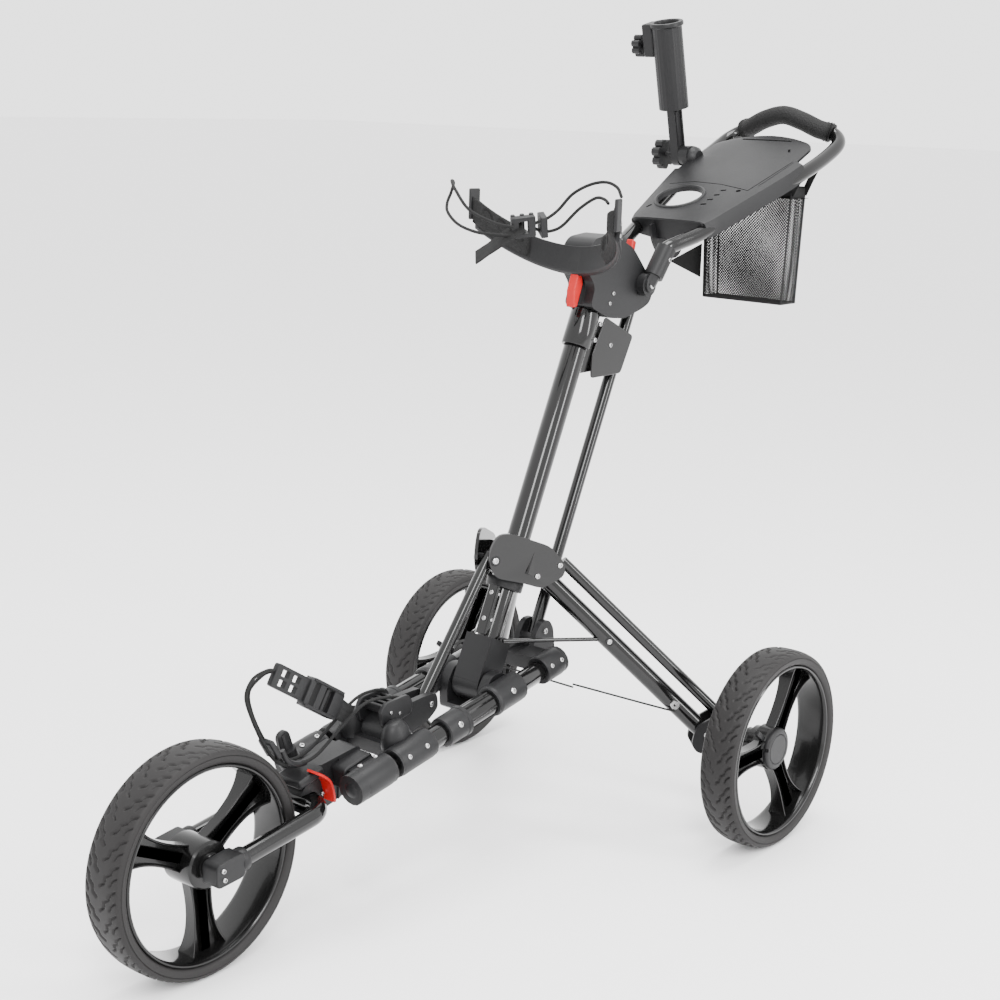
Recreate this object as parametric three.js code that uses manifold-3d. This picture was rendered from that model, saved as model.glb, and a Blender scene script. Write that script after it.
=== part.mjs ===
// A folding three-wheeled golf push trolley, in millimetres, +Z up.
// The front wheel points along -Y and +X is the trolley's own left.
// The mast leans back from a pivot between two rails, the rear legs hang from a hub that slides
// on the mast, and a strut parallel to the mast keeps the bag cradle and handle upright.
import * as THREE from 'three';
import { mergeVertices } from 'three/addons/utils/BufferGeometryUtils.js';
import Module from 'manifold-3d';

const wasm = await Module();
wasm.setup();

// ---------------------------------------------------------------- driving dimensions
const GAP = 0.3;                       // clearance between parts that touch
const WHEEL_RADIUS = 146;
const RIM_RADIUS = 126;                // where the tyre sits on the rim
const RIM_INNER = 120;
const FRONT_TYRE_WIDTH = 62;
const REAR_TYRE_WIDTH = 55;
const WHEELBASE = 828;
const TRACK = 605;
const WHEEL_STEPS = 36;
const FRONT_SPOKE = THREE.MathUtils.degToRad(5);    // turned from straight down
const REAR_SPOKE = THREE.MathUtils.degToRad(30);

const RAIL_X = 60;                     // half the spacing of the two lower rails
const RAIL_SLOPE = THREE.MathUtils.degToRad(10.5);
const RAIL_START = new THREE.Vector3(0, -611, 193);
const RAIL_LENGTH = 413;
const RAIL_THIN = 11;
const RAIL_THICK = 14.5;
const RAIL_BORE = 9;

const FORK_TUBE = 12;
const FORK_BORE = 9;
const FORK_HALF = 46;                  // half the spacing of the fork's legs
const FORK_PIVOT = new THREE.Vector3(0, -648, 172);

const MAST_PIVOT = new THREE.Vector3(0, -309, 245);
const MAST_LEAN = THREE.MathUtils.degToRad(24);
const MAST_RADIUS = 17;
const MAST_BORE = 15;
const MAST_START = 12;                 // heights along the mast, from its pivot
const HEAD_PIVOT = 522;
const HUB_LOW = 150;
const HUB_HIGH = 207;
const HEAD_LOW = 561;
const MAST_TOP = 650;

const STRUT_PIVOT = new THREE.Vector3(0, -423, 248);
const STRUT_TOP = new THREE.Vector3(0, -287, 425);
const STRUT_RADIUS = 8;
const LINK_PIVOT = new THREE.Vector3(0, -175, 298);
const LINK_RADIUS = 9;

const LEG_TOP = new THREE.Vector3(26, -196, 388);
const LEG_FOOT = new THREE.Vector3(204, -22, 150);
const LEG_RADIUS = 13.5;
const LEG_BORE = 11.5;
const LEG_LINK_RADIUS = 8;
const LEG_LINK_OUT = 32.5;             // the upper link's pivots from the lower tube's, outwards
const LEG_LINK_UP = 17;                // and upwards
const TIE_ON_LEG = 0.402;              // how far down the leg the tie rod is bolted
const STAY_ON_LEG = 0.805;             // and the stay wire
const TIE_FOOT = new THREE.Vector3(28, -284, 309);
const TIE_RADIUS = 3;
const STAY_RADIUS = 1.5;
const STAY_STEP = 2.4;                 // the two wires pass at different heights

const HANDLE_PIVOT = new THREE.Vector3(0, 22, 792);
const HANDLE_TUBE = 11;
const HANDLE_BORE = 8.2;
const GRIP_RADIUS = 15.5;
const TRAY_START = new THREE.Vector3(0, 155, 880);
const TRAY_SLOPE = THREE.MathUtils.degToRad(23);
const TRAY_LOW = 13.5;                 // the tray's underside above the handle tubes' centres
const TRAY_THICK = 5;
const CUP_RADIUS = 36;

const CRADLE_RADIUS = 128;             // the golf bag that the cradle holds
const CRADLE_LIP = new THREE.Vector3(0, -116, 818);
const CRADLE_TILT = THREE.MathUtils.degToRad(38);
const CRADLE_HEIGHT = 34;

const UMBRELLA_PIVOT = new THREE.Vector3(-122, 316, 972);
const UMBRELLA_LEAN = THREE.MathUtils.degToRad(14);
const BUNGEE_RADIUS = 2.2;

// ---------------------------------------------------------------- materials
function finish(colour, roughness, metalness) {
  return { color: new THREE.Color(colour), roughness, metalness };
}
const GLOSS = finish('#0b0b0c', 0.18, 0.4);
const PLASTIC = finish('#1d1d1f', 0.55, 0);
const RUBBER = finish('#1a191a', 0.8, 0);
const STEEL = finish('#b8b9bc', 0.3, 1);
const RED = finish('#c3262b', 0.4, 0);
const FOAM = finish('#151515', 0.9, 0);
const NET = finish('#101010', 0.9, 0);
const CORD = finish('#0d0d0e', 0.8, 0);

// ---------------------------------------------------------------- solids
function toSolid(geometry) {
  const bare = new THREE.BufferGeometry();
  bare.setAttribute('position', geometry.getAttribute('position').clone());
  if (geometry.index) bare.setIndex(geometry.index.clone());
  const merged = mergeVertices(bare, 1e-3);
  const index = merged.index.array;
  const triangles = [];
  for (let i = 0; i < index.length; i += 3) {
    const [a, b, c] = [index[i], index[i + 1], index[i + 2]];
    if (a !== b && b !== c && c !== a) triangles.push(a, b, c);
  }
  const vertProperties = new Float32Array(merged.getAttribute('position').array);
  const triVerts = new Uint32Array(triangles);
  return new wasm.Manifold(new wasm.Mesh({ numProp: 3, vertProperties, triVerts }));
}

function toGeometry(solid) {
  const mesh = solid.getMesh();
  const geometry = new THREE.BufferGeometry();
  geometry.setAttribute('position', new THREE.BufferAttribute(mesh.vertProperties, 3));
  geometry.setIndex(new THREE.BufferAttribute(mesh.triVerts, 1));
  geometry.computeVertexNormals();
  return geometry;
}

function join(...geometries) {
  const solids = geometries.map(toSolid);
  return toGeometry(solids.reduce((whole, next) => whole.add(next)));
}

function cut(base, ...tools) {
  const solids = tools.map(toSolid);
  return toGeometry(solids.reduce((whole, next) => whole.subtract(next), toSolid(base)));
}

// ---------------------------------------------------------------- shapes
function box(width, depth, height, x, y, z) {
  return new THREE.BoxGeometry(width, depth, height).translate(x, y, z);
}

function circlePoints(radius, sides) {
  const points = [];
  for (let i = 0; i < sides; i += 1) {
    const angle = (i * 2 * Math.PI) / sides;
    points.push(new THREE.Vector2(radius * Math.cos(angle), radius * Math.sin(angle)));
  }
  return points;
}

// A tube's section; the bore has fewer sides than the outside, so it is drawn a little smaller.
function ringShape(radius, bore, sides, boreSides = Math.max(6, sides - 4)) {
  const shape = new THREE.Shape(circlePoints(radius, sides));
  if (bore > 0) shape.holes.push(new THREE.Path(circlePoints(bore, boreSides).reverse()));
  return shape;
}

// A straight round bar between two points, hollow where it has a bore.
function bar(from, to, radius, bore = 0, sides = 16) {
  const along = new THREE.Vector3().subVectors(to, from);
  const depth = along.length();
  const geometry = new THREE.ExtrudeGeometry(ringShape(radius, bore, sides), { depth, bevelEnabled: false });
  const turn = new THREE.Quaternion().setFromUnitVectors(new THREE.Vector3(0, 0, 1), along.normalize());
  return geometry.applyQuaternion(turn).translate(from.x, from.y, from.z);
}

// A round bar along X, centred on a point of the YZ plane.
function pin(y, z, x0, x1, radius, sides = 16) {
  return bar(new THREE.Vector3(x0, y, z), new THREE.Vector3(x1, y, z), radius, 0, sides);
}

// An outline of [y, z] points, extruded along X.
function sidePlate(points, x0, x1) {
  const shape = new THREE.Shape(points.map(([y, z]) => new THREE.Vector2(y, z)));
  const geometry = new THREE.ExtrudeGeometry(shape, { depth: x1 - x0, bevelEnabled: false });
  const axes = new THREE.Matrix4().makeBasis(
    new THREE.Vector3(0, 1, 0),
    new THREE.Vector3(0, 0, 1),
    new THREE.Vector3(1, 0, 0),
  );
  return geometry.applyMatrix4(axes).translate(x0, 0, 0);
}

// An outline of [x, y] points, extruded along Z.
function flatPlate(points, z0, z1) {
  const shape = new THREE.Shape(points.map(([x, y]) => new THREE.Vector2(x, y)));
  const geometry = new THREE.ExtrudeGeometry(shape, { depth: z1 - z0, bevelEnabled: false });
  return geometry.translate(0, 0, z0);
}

function sweep(curve, radius, bore, sides, steps) {
  const settings = { extrudePath: curve, steps, bevelEnabled: false };
  return new THREE.ExtrudeGeometry(ringShape(radius, bore, sides), settings);
}

// A closed profile of [radius, x] points, turned about the X axis.
function turned(profile, steps = WHEEL_STEPS) {
  const points = profile.map(([r, x]) => new THREE.Vector2(r, x));
  if (THREE.ShapeUtils.area(points) < 0) points.reverse();
  points.push(points[0]);
  return new THREE.LatheGeometry(points, steps).rotateZ(-Math.PI / 2);
}

function roundedOutline(points, radius, steps = 3) {
  const outline = [];
  const count = points.length;
  for (let i = 0; i < count; i += 1) {
    const here = new THREE.Vector2(...points[i]);
    const before = new THREE.Vector2(...points[(i + count - 1) % count]);
    const after = new THREE.Vector2(...points[(i + 1) % count]);
    const reachIn = Math.min(radius, here.distanceTo(before) * 0.45);
    const reachOut = Math.min(radius, here.distanceTo(after) * 0.45);
    const start = here.clone().lerp(before, reachIn / here.distanceTo(before));
    const end = here.clone().lerp(after, reachOut / here.distanceTo(after));
    const curve = new THREE.QuadraticBezierCurve(start, here, end);
    outline.push(...curve.getPoints(steps).map((p) => [p.x, p.y]));
  }
  return outline;
}

const trolley = new THREE.Group();

function addMesh(parent, name, geometry, material) {
  const mesh = new THREE.Mesh(geometry, new THREE.MeshStandardMaterial(material));
  mesh.name = name;
  parent.add(mesh);
  return mesh;
}

function addGroup(parent, position, rotationX = 0, rotationZ = 0) {
  const group = new THREE.Group();
  group.position.copy(position);
  group.rotation.set(rotationX, 0, rotationZ);
  parent.add(group);
  return group;
}

function v(x, y, z) {
  return new THREE.Vector3(x, y, z);
}

// ---------------------------------------------------------------- wheels
function tyreGeometry(width) {
  const half = width / 2;
  return turned([
    [RIM_RADIUS + GAP, 4 - half],
    [RIM_RADIUS + GAP, half - 4],
    [134, half],
    [141, half - 1],
    [WHEEL_RADIUS - 1.5, half - 8],
    [WHEEL_RADIUS, half - 16],
    [WHEEL_RADIUS, 16 - half],
    [WHEEL_RADIUS - 1.5, 8 - half],
    [141, 1 - half],
    [134, -half],
  ]);
}

function spoke(turn) {
  const shape = new THREE.Shape();
  shape.moveTo(24, -18);
  shape.quadraticCurveTo(84, -8, RIM_INNER + 1.5, -29);
  shape.lineTo(RIM_INNER + 1.5, 29);
  shape.quadraticCurveTo(84, 8, 24, 18);
  const geometry = new THREE.ExtrudeGeometry(shape, { depth: 16, bevelEnabled: false, curveSegments: 5 });
  return geometry.translate(0, 0, -8).rotateZ(turn).rotateY(Math.PI / 2);
}

// The rim, its three spokes and its hub, moulded in one piece and bored for the axle.
function rimGeometry(width, hubInner, hubOuter, bore, firstSpoke) {
  const half = width / 2;
  const ring = turned([
    [RIM_INNER, 6 - half],
    [RIM_INNER, half - 6],
    [RIM_INNER + 3, half - 4],
    [RIM_RADIUS, half - 4],
    [RIM_RADIUS, 4 - half],
    [RIM_INNER + 3, 4 - half],
  ]);
  const hub = pin(0, 0, hubInner, hubOuter, 30, 20);
  const spokes = [0, 1, 2].map((i) => spoke(firstSpoke + (i * 2 * Math.PI) / 3));
  return cut(join(ring, hub, ...spokes), pin(0, 0, hubInner - 5, hubOuter + 5, bore, 16));
}

const frontWheel = addGroup(trolley, v(0, -WHEELBASE, WHEEL_RADIUS));
addMesh(frontWheel, 'front_tyre', tyreGeometry(FRONT_TYRE_WIDTH), RUBBER);
addMesh(frontWheel, 'front_rim', rimGeometry(FRONT_TYRE_WIDTH, -30, 30, 5.4, FRONT_SPOKE), GLOSS);
addMesh(frontWheel, 'front_axle', pin(0, 0, -55, 55, 5, 12), STEEL);

function addRearWheel(side) {
  const name = side > 0 ? 'left' : 'right';
  const wheel = addGroup(trolley, v((side * TRACK) / 2, 0, WHEEL_RADIUS));
  const hub = side > 0 ? [-38, 8] : [-8, 38];
  addMesh(wheel, `rear_${name}_tyre`, tyreGeometry(REAR_TYRE_WIDTH), RUBBER);
  const rim = rimGeometry(REAR_TYRE_WIDTH, hub[0], hub[1], 6.4, REAR_SPOKE);
  const slot = box(8, 9, 60, side * 2.5, 0, 34).rotateX(0.9);
  addMesh(wheel, `rear_${name}_rim`, cut(rim, slot), GLOSS);
  const cap = turned([[0, 0], [31, 0], [31, 4], [27, 8], [0, 9]], 20);
  const placed = side > 0 ? cap.translate(8 + GAP, 0, 0) : cap.rotateY(Math.PI).translate(-8 - GAP, 0, 0);
  addMesh(wheel, `rear_${name}_hub_cap`, placed, PLASTIC);
  const tab = box(7, 8, 36, side * 2.5, 0, 35).rotateX(0.9);
  addMesh(wheel, `rear_${name}_release_tab`, tab, PLASTIC);
  addMesh(wheel, `rear_${name}_axle`, pin(0, 0, side > 0 ? -77 : -4, side > 0 ? 4 : 77, 6, 12), STEEL);
}
addRearWheel(1);
addRearWheel(-1);

// ---------------------------------------------------------------- front fork
function forkPath() {
  const legSlope = (FORK_PIVOT.z - WHEEL_RADIUS) / (FORK_PIVOT.y + WHEELBASE);
  const path = new THREE.CurvePath();
  const onPlane = (x, y) => v(x, y, FORK_PIVOT.z + (y - FORK_PIVOT.y) * legSlope);
  const bend = 30;
  const ends = [
    onPlane(FORK_HALF, -806),
    onPlane(FORK_HALF, FORK_PIVOT.y - bend),
    onPlane(FORK_HALF - bend, FORK_PIVOT.y),
    onPlane(bend - FORK_HALF, FORK_PIVOT.y),
    onPlane(-FORK_HALF, FORK_PIVOT.y - bend),
    onPlane(-FORK_HALF, -806),
  ];
  path.add(new THREE.LineCurve3(ends[0], ends[1]));
  path.add(new THREE.QuadraticBezierCurve3(ends[1], onPlane(FORK_HALF - 3, FORK_PIVOT.y - 3), ends[2]));
  path.add(new THREE.LineCurve3(ends[2], ends[3]));
  path.add(new THREE.QuadraticBezierCurve3(ends[3], onPlane(3 - FORK_HALF, FORK_PIVOT.y - 3), ends[4]));
  path.add(new THREE.LineCurve3(ends[4], ends[5]));
  return path;
}
addMesh(trolley, 'fork_tube', sweep(forkPath(), FORK_TUBE, FORK_BORE, 12, 28), GLOSS);

function addForkEnd(side) {
  const outline = roundedOutline([[-846, 130], [-846, 160], [-800, 166], [-800, 134]], 8);
  const [x0, x1] = side > 0 ? [33, 60] : [-60, -33];
  const slope = Math.atan2(FORK_PIVOT.z - WHEEL_RADIUS, FORK_PIVOT.y + WHEELBASE);
  const start = v(side * FORK_HALF, -806.5, 149);
  const end = v(side * FORK_HALF, -780, 149 + 26.5 * Math.tan(slope));
  const block = cut(sidePlate(outline, x0, x1), bar(start, end, FORK_TUBE + GAP, 0, 12));
  const [boreStart, boreEnd] = side > 0 ? [30, 55.3] : [-55.3, -30];
  const bored = cut(block, pin(-WHEELBASE, WHEEL_RADIUS, boreStart, boreEnd, 5.3, 12));
  addMesh(trolley, side > 0 ? 'fork_end_left' : 'fork_end_right', bored, PLASTIC);
}
addForkEnd(1);
addForkEnd(-1);

// ---------------------------------------------------------------- lower frame
const rails = addGroup(trolley, RAIL_START, RAIL_SLOPE);

function railSection(side, from, to, radius, bore = 0) {
  return bar(v(side * RAIL_X, from, 0), v(side * RAIL_X, to, 0), radius, bore, 16);
}

const THIN_END = 78;                   // where the thin front tube enters the thick one
for (const side of [1, -1]) {
  const profile = [
    [RAIL_BORE, 4],
    [RAIL_BORE, RAIL_LENGTH],
    [RAIL_THICK, RAIL_LENGTH],
    [RAIL_THICK, THIN_END + 20],
    [RAIL_THIN, THIN_END + 20],
    [RAIL_THIN, 4],
  ];
  const rail = turned(profile, 16).rotateZ(Math.PI / 2).translate(side * RAIL_X, 0, 0);
  addMesh(rails, side > 0 ? 'rail_left' : 'rail_right', rail, GLOSS);
}

// A collar moulded round both rails, with the space for the tubes cut away again.
function railCollars(from, to, radius) {
  return [1, -1].map((side) => railSection(side, from, to, radius));
}

function railBores() {
  return [1, -1].flatMap((side) => [
    railSection(side, 4 - GAP, THIN_END + 21, RAIL_THIN + GAP),
    railSection(side, THIN_END + 20 - GAP, RAIL_LENGTH + GAP, RAIL_THICK + GAP),
  ]);
}

// Profiles in the YZ plane of the trolley, moved into the rails' own group.
function intoRails(geometry) {
  const back = new THREE.Matrix4().makeRotationX(-RAIL_SLOPE);
  return geometry.translate(-RAIL_START.x, -RAIL_START.y, -RAIL_START.z).applyMatrix4(back);
}

const NOSE = [[-668, 160], [-668, 186], [-640, 216], [-560, 226], [-556, 190], [-600, 160], [-640, 152]];
const frontBody = [
  ...railCollars(-10, 59, 21),
  intoRails(sidePlate(roundedOutline(NOSE, 8), -17, 17)),
  box(2 * RAIL_X, 44, 26, 0, 30, 2),
];
const forkSlot = intoRails(pin(FORK_PIVOT.y, FORK_PIVOT.z, -40, 40, FORK_TUBE + 1.2, 16));
const forkMouth = intoRails(box(80, 30, 2 * FORK_TUBE + 1, 0, FORK_PIVOT.y - 15, FORK_PIVOT.z));
const latchSeat = intoRails(box(14, 38, 62, 22, -618, 186));
const frontBracket = cut(join(...frontBody), ...railBores(), forkSlot, forkMouth, latchSeat);
addMesh(rails, 'front_bracket', frontBracket, PLASTIC);

const LATCH = [[-632, 160], [-634, 204], [-616, 212], [-602, 184], [-612, 162]];
const forkLatch = intoRails(sidePlate(roundedOutline(LATCH, 5), 15 + GAP, 24));
addMesh(rails, 'fork_latch', forkLatch, RED);

const knobBase = v(-32, -640, 212);
const knobAxis = v(0, -0.35, 0.94).normalize();
const knobTop = knobBase.clone().addScaledVector(knobAxis, 20);
const knobCap = knobBase.clone().addScaledVector(knobAxis, 44);
const wingBar = bar(knobTop, knobCap, 6, 0, 10);
const knob = intoRails(join(bar(knobBase, knobTop, 13, 0, 14), wingBar));
addMesh(rails, 'tracking_knob', knob, PLASTIC);

const MIDDLE = [
  [-520, 208], [-520, 236], [-492, 258], [-440, 262],
  [-412, 262], [-408, 240], [-428, 226], [-470, 214],
];
const middleBody = [
  ...railCollars(69, 138, 20),
  box(2 * RAIL_X, 40, 20, 0, 106, 2),
  intoRails(sidePlate(roundedOutline(MIDDLE, 8), -19, 19)),
];
const strutSlot = intoRails(box(2 * (STRUT_RADIUS + 1), 74, 60, 0, -420, 262));
addMesh(rails, 'middle_bracket', cut(join(...middleBody), ...railBores(), strutSlot), PLASTIC);

const ARM = [[-336, 206], [-338, 246], [-322, 270], [-298, 270], [-280, 250], [-284, 214]];
const baseBody = [
  ...railCollars(266, 326, 21),
  intoRails(sidePlate(roundedOutline(ARM, 10), -42, 42)),
];
const footSpace = intoRails(box(54, 120, 120, 0, -310, 278));
const pivotStubs = [1, -1].map((side) => intoRails(
  pin(MAST_PIVOT.y, MAST_PIVOT.z, side > 0 ? 19 : -30, side > 0 ? 30 : -19, 5, 12),
));
const baseBracket = join(cut(join(...baseBody), footSpace, ...railBores()), ...pivotStubs);
addMesh(rails, 'base_bracket', baseBracket, PLASTIC);

const LUG = [[-208, 256], [-196, 300], [-184, 313], [-166, 313], [-156, 300], [-150, 262], [-166, 250]];
const rearBody = [
  ...railCollars(376, RAIL_LENGTH + 9, 20),
  box(2 * RAIL_X, 32, 22, 0, 405, 0),
  intoRails(sidePlate(roundedOutline(LUG, 6), -19, 19)),
];
const linkSlot = intoRails(box(2 * (LINK_RADIUS + 1), 110, 90, 0, -180, 319));
addMesh(rails, 'rear_bracket', cut(join(...rearBody), ...railBores(), linkSlot), PLASTIC);

// ---------------------------------------------------------------- mast
const mast = addGroup(trolley, MAST_PIVOT, -MAST_LEAN);

function intoMast(geometry) {
  const back = new THREE.Matrix4().makeRotationX(MAST_LEAN);
  return geometry.translate(-MAST_PIVOT.x, -MAST_PIVOT.y, -MAST_PIVOT.z).applyMatrix4(back);
}

const FOOT_HALF = 23;
const footBox = box(2 * FOOT_HALF, 2 * FOOT_HALF, 66, 0, 0, 35);
const footBlock = join(footBox, pin(0, 0, -FOOT_HALF, FOOT_HALF, FOOT_HALF, 20));
const mastHole = bar(v(0, 0, MAST_START - GAP), v(0, 0, 90), MAST_RADIUS + GAP, 0, 20);
addMesh(mast, 'mast_foot', cut(footBlock, mastHole, pin(0, 0, -50, 50, 5.3, 12)), PLASTIC);
const mastTube = bar(v(0, 0, MAST_START), v(0, 0, HEAD_PIVOT + 5), MAST_RADIUS, MAST_BORE, 20);
addMesh(mast, 'mast_tube', mastTube, GLOSS);

// ---------------------------------------------------------------- hub that slides on the mast
const CHEEK = [
  [-301, 420], [-300, 440], [-288, 462], [-268, 463], [-205, 439], [-180, 410],
  [-182, 393], [-216, 378], [-248, 389], [-290, 400],
];
const CHEEK_TURN = Math.atan2(44, 93);  // the cheeks open out from the strut to the legs
const CHEEK_FRONT = v(14, -290, 0);

function cheek(side) {
  const plate = sidePlate(roundedOutline(CHEEK, 10), 0, 5).translate(0, -CHEEK_FRONT.y, 0);
  if (side > 0) return plate.rotateZ(-CHEEK_TURN).translate(CHEEK_FRONT.x, CHEEK_FRONT.y, 0);
  return plate.translate(-5, 0, 0).rotateZ(CHEEK_TURN).translate(-CHEEK_FRONT.x, CHEEK_FRONT.y, 0);
}
const hubSleeve = bar(v(0, 0, HUB_LOW), v(0, 0, HUB_HIGH), 25, 0, 20);
const hubBridge = box(88, 20, 36, 0, -2, 186);
const hubBody = join(hubSleeve, hubBridge, intoMast(cheek(1)), intoMast(cheek(-1)));
const hubBore = bar(v(0, 0, HUB_LOW - 5), v(0, 0, HUB_HIGH + 60), MAST_RADIUS + 0.6, 0, 20);
addMesh(mast, 'hub_bracket', cut(hubBody, hubBore), PLASTIC);

// ---------------------------------------------------------------- struts
const strutAlong = STRUT_TOP.clone().sub(STRUT_PIVOT).normalize();
const strutEnd = STRUT_TOP.clone().addScaledVector(strutAlong, 9);
const strutStart = STRUT_PIVOT.clone().addScaledVector(strutAlong, -7);
addMesh(trolley, 'front_strut', bar(strutStart, strutEnd, STRUT_RADIUS, 6, 12), GLOSS);

const mastAlong = v(0, Math.sin(MAST_LEAN), Math.cos(MAST_LEAN));
const linkStart = LINK_PIVOT.clone().addScaledVector(mastAlong, -8);
const linkEnd = LINK_PIVOT.clone().addScaledVector(mastAlong, HEAD_PIVOT + 8);
addMesh(trolley, 'rear_strut', bar(linkStart, linkEnd, LINK_RADIUS, 7, 12), GLOSS);

// ---------------------------------------------------------------- rear legs
function addLeg(side) {
  const name = side > 0 ? 'left' : 'right';
  const mirror = (point) => v(side * point.x, point.y, point.z);
  const top = mirror(LEG_TOP);
  const foot = mirror(LEG_FOOT);
  const along = foot.clone().sub(top);
  const outwards = v(along.x, along.y, 0).normalize();
  const turn = Math.atan2(-outwards.x, outwards.y);
  const leg = addGroup(trolley, top, 0, turn);
  const run = Math.hypot(along.x, along.y);
  const drop = along.z;
  const length = Math.hypot(run, drop);
  const unit = v(0, run / length, drop / length);
  const legPoint = (share) => v(0, run * share, drop * share);
  const nearTop = legPoint(0).addScaledVector(unit, -10);
  const nearFoot = legPoint(1).addScaledVector(unit, 12);
  addMesh(leg, `leg_${name}_tube`, bar(nearTop, nearFoot, LEG_RADIUS, LEG_BORE, 16), GLOSS);
  const linkTop = v(0, LEG_LINK_OUT, LEG_LINK_UP).addScaledVector(unit, -6);
  const linkFoot = v(0, run + LEG_LINK_OUT, drop + LEG_LINK_UP).addScaledVector(unit, 6);
  addMesh(leg, `leg_${name}_link`, bar(linkTop, linkFoot, LEG_LINK_RADIUS, 6, 12), GLOSS);

  const bracketOutline = roundedOutline([
    [run - 22, drop - 14], [run - 16, drop + 14], [run + 20, drop + 36],
    [run + 48, drop + 30], [run + 55, drop + 2], [run + 46, drop - 27], [run - 12, drop - 27],
  ], 8);
  const forked = cut(
    sidePlate(bracketOutline, -20, 20),
    box(2 * (LEG_RADIUS + 1.5), 124, 120, 0, run - 18, drop + 40.5),
  );
  leg.updateMatrix();
  const toLeg = leg.matrix.clone().invert();
  const axleFrom = v(side * 229, 0, WHEEL_RADIUS).applyMatrix4(toLeg);
  const axleTo = v(side * 263, 0, WHEEL_RADIUS).applyMatrix4(toLeg);
  const axleBoss = bar(axleFrom, axleTo, 10.5, 0, 14);
  const axleBore = bar(
    v(side * (TRACK / 2 - 78), 0, WHEEL_RADIUS).applyMatrix4(toLeg),
    v(side * 290, 0, WHEEL_RADIUS).applyMatrix4(toLeg),
    6.3, 0, 12,
  );
  const bracket = cut(join(forked, axleBoss), axleBore);
  addMesh(leg, `wheel_bracket_${name}`, bracket, PLASTIC);

  const onLeg = (share) => top.clone().lerp(foot, share);
  const outerFace = v(side * outwards.y, -Math.abs(outwards.x), 0);
  const tieEnd = onLeg(TIE_ON_LEG).addScaledVector(outerFace, LEG_RADIUS + TIE_RADIUS + 3.2);
  addMesh(trolley, `tie_rod_${name}`, bar(mirror(TIE_FOOT), tieEnd, TIE_RADIUS, 0, 8), GLOSS);
  const underTube = outwards.clone().multiplyScalar(drop / length);
  underTube.z = -run / length;
  const stayEnd = onLeg(STAY_ON_LEG).addScaledVector(outerFace, 10.5).addScaledVector(underTube, 14.8);
  stayEnd.z += side * STAY_STEP;
  const stayInner = v(0, stayEnd.y - 6, stayEnd.z);
  addMesh(trolley, `stay_wire_${name}`, bar(stayEnd, stayInner, STAY_RADIUS, 0, 6), CORD);
}
addLeg(1);
addLeg(-1);

// ---------------------------------------------------------------- head, cradle and levers
addMesh(mast, 'mast_upper_tube', bar(v(0, 0, 546), v(0, 0, MAST_TOP), MAST_RADIUS, MAST_BORE, 20), GLOSS);

const SLEEVE = [[-22, 508], [-22, 558], [30, 558], [44, 540], [44, 518], [30, 508]];
const sleeveBlock = sidePlate(SLEEVE, -21, 21);
const sleeveHollow = box(36, 100, 80, 0, 31, 530);
addMesh(mast, 'mast_sleeve', cut(sleeveBlock, sleeveHollow), GLOSS);

const HEAD = [
  [-24, HEAD_LOW], [24, HEAD_LOW], [62, 574], [98, 602], [113, 618], [110, 644],
  [84, 654], [60, 664], [36, 674], [-20, 674], [-58, 652], [-65, 636], [-54, 604], [-26, 590],
];
const headBlock = sidePlate(roundedOutline(HEAD, 9), -24, 24);
const headHole = bar(v(0, 0, 545), v(0, 0, MAST_TOP + GAP), MAST_RADIUS + GAP, 0, 20);
const headSlot = box(2 * (LINK_RADIUS + 1.5), 84, 140, 0, 126, 590);
const leverSlot = box(16, 60, 60, 0, -52, 584);
const rearLeverSlot = box(14, 60, 52, 0, 69, 667);

function cradleArc(inner, outer, from, to, steps) {
  const at = (radius, degrees) => {
    const angle = THREE.MathUtils.degToRad(degrees);
    return [radius * Math.sin(angle), radius * Math.cos(angle) - CRADLE_RADIUS];
  };
  const points = [];
  for (let i = 0; i <= steps; i += 1) points.push(at(inner, from + ((to - from) * i) / steps));
  for (let i = steps; i >= 0; i -= 1) points.push(at(outer, from + ((to - from) * i) / steps));
  return points;
}

// Tilts a flat arc up towards the front, keeps its walls upright and moves it into the mast's group.
function intoCradle(geometry) {
  const tilt = new THREE.Matrix4().makeBasis(
    v(1, 0, 0),
    v(0, Math.cos(CRADLE_TILT), -Math.sin(CRADLE_TILT)),
    v(0, 0, 1),
  );
  return intoMast(geometry.applyMatrix4(tilt).translate(CRADLE_LIP.x, CRADLE_LIP.y, CRADLE_LIP.z));
}
const bandShape = cradleArc(CRADLE_RADIUS, CRADLE_RADIUS + 7, -72, 72, 22);
const band = intoCradle(flatPlate(bandShape, 0, CRADLE_HEIGHT));
const headBody = cut(join(headBlock, band), headHole, headSlot, leverSlot, rearLeverSlot);
addMesh(mast, 'head', headBody, PLASTIC);

for (const side of [1, -1]) {
  const [from, to] = side > 0 ? [32, 77] : [-77, -32];
  const pad = cradleArc(CRADLE_RADIUS - 12, CRADLE_RADIUS - GAP, from, to, 10);
  const geometry = intoCradle(flatPlate(pad, 2, CRADLE_HEIGHT + 4));
  addMesh(mast, side > 0 ? 'cradle_pad_left' : 'cradle_pad_right', geometry, FOAM);
}

const FRONT_LEVER = [[-40, 552], [-32, 556], [-34, 590], [-44, 606], [-52, 602], [-50, 574]];
addMesh(mast, 'front_lever', sidePlate(FRONT_LEVER, -7, 7), RED);
const REAR_LEVER = [[53, 647], [65, 647], [67, 665], [62, 693], [52, 693], [57, 667]];
addMesh(mast, 'rear_lever', sidePlate(REAR_LEVER, -6, 6), RED);

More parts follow.
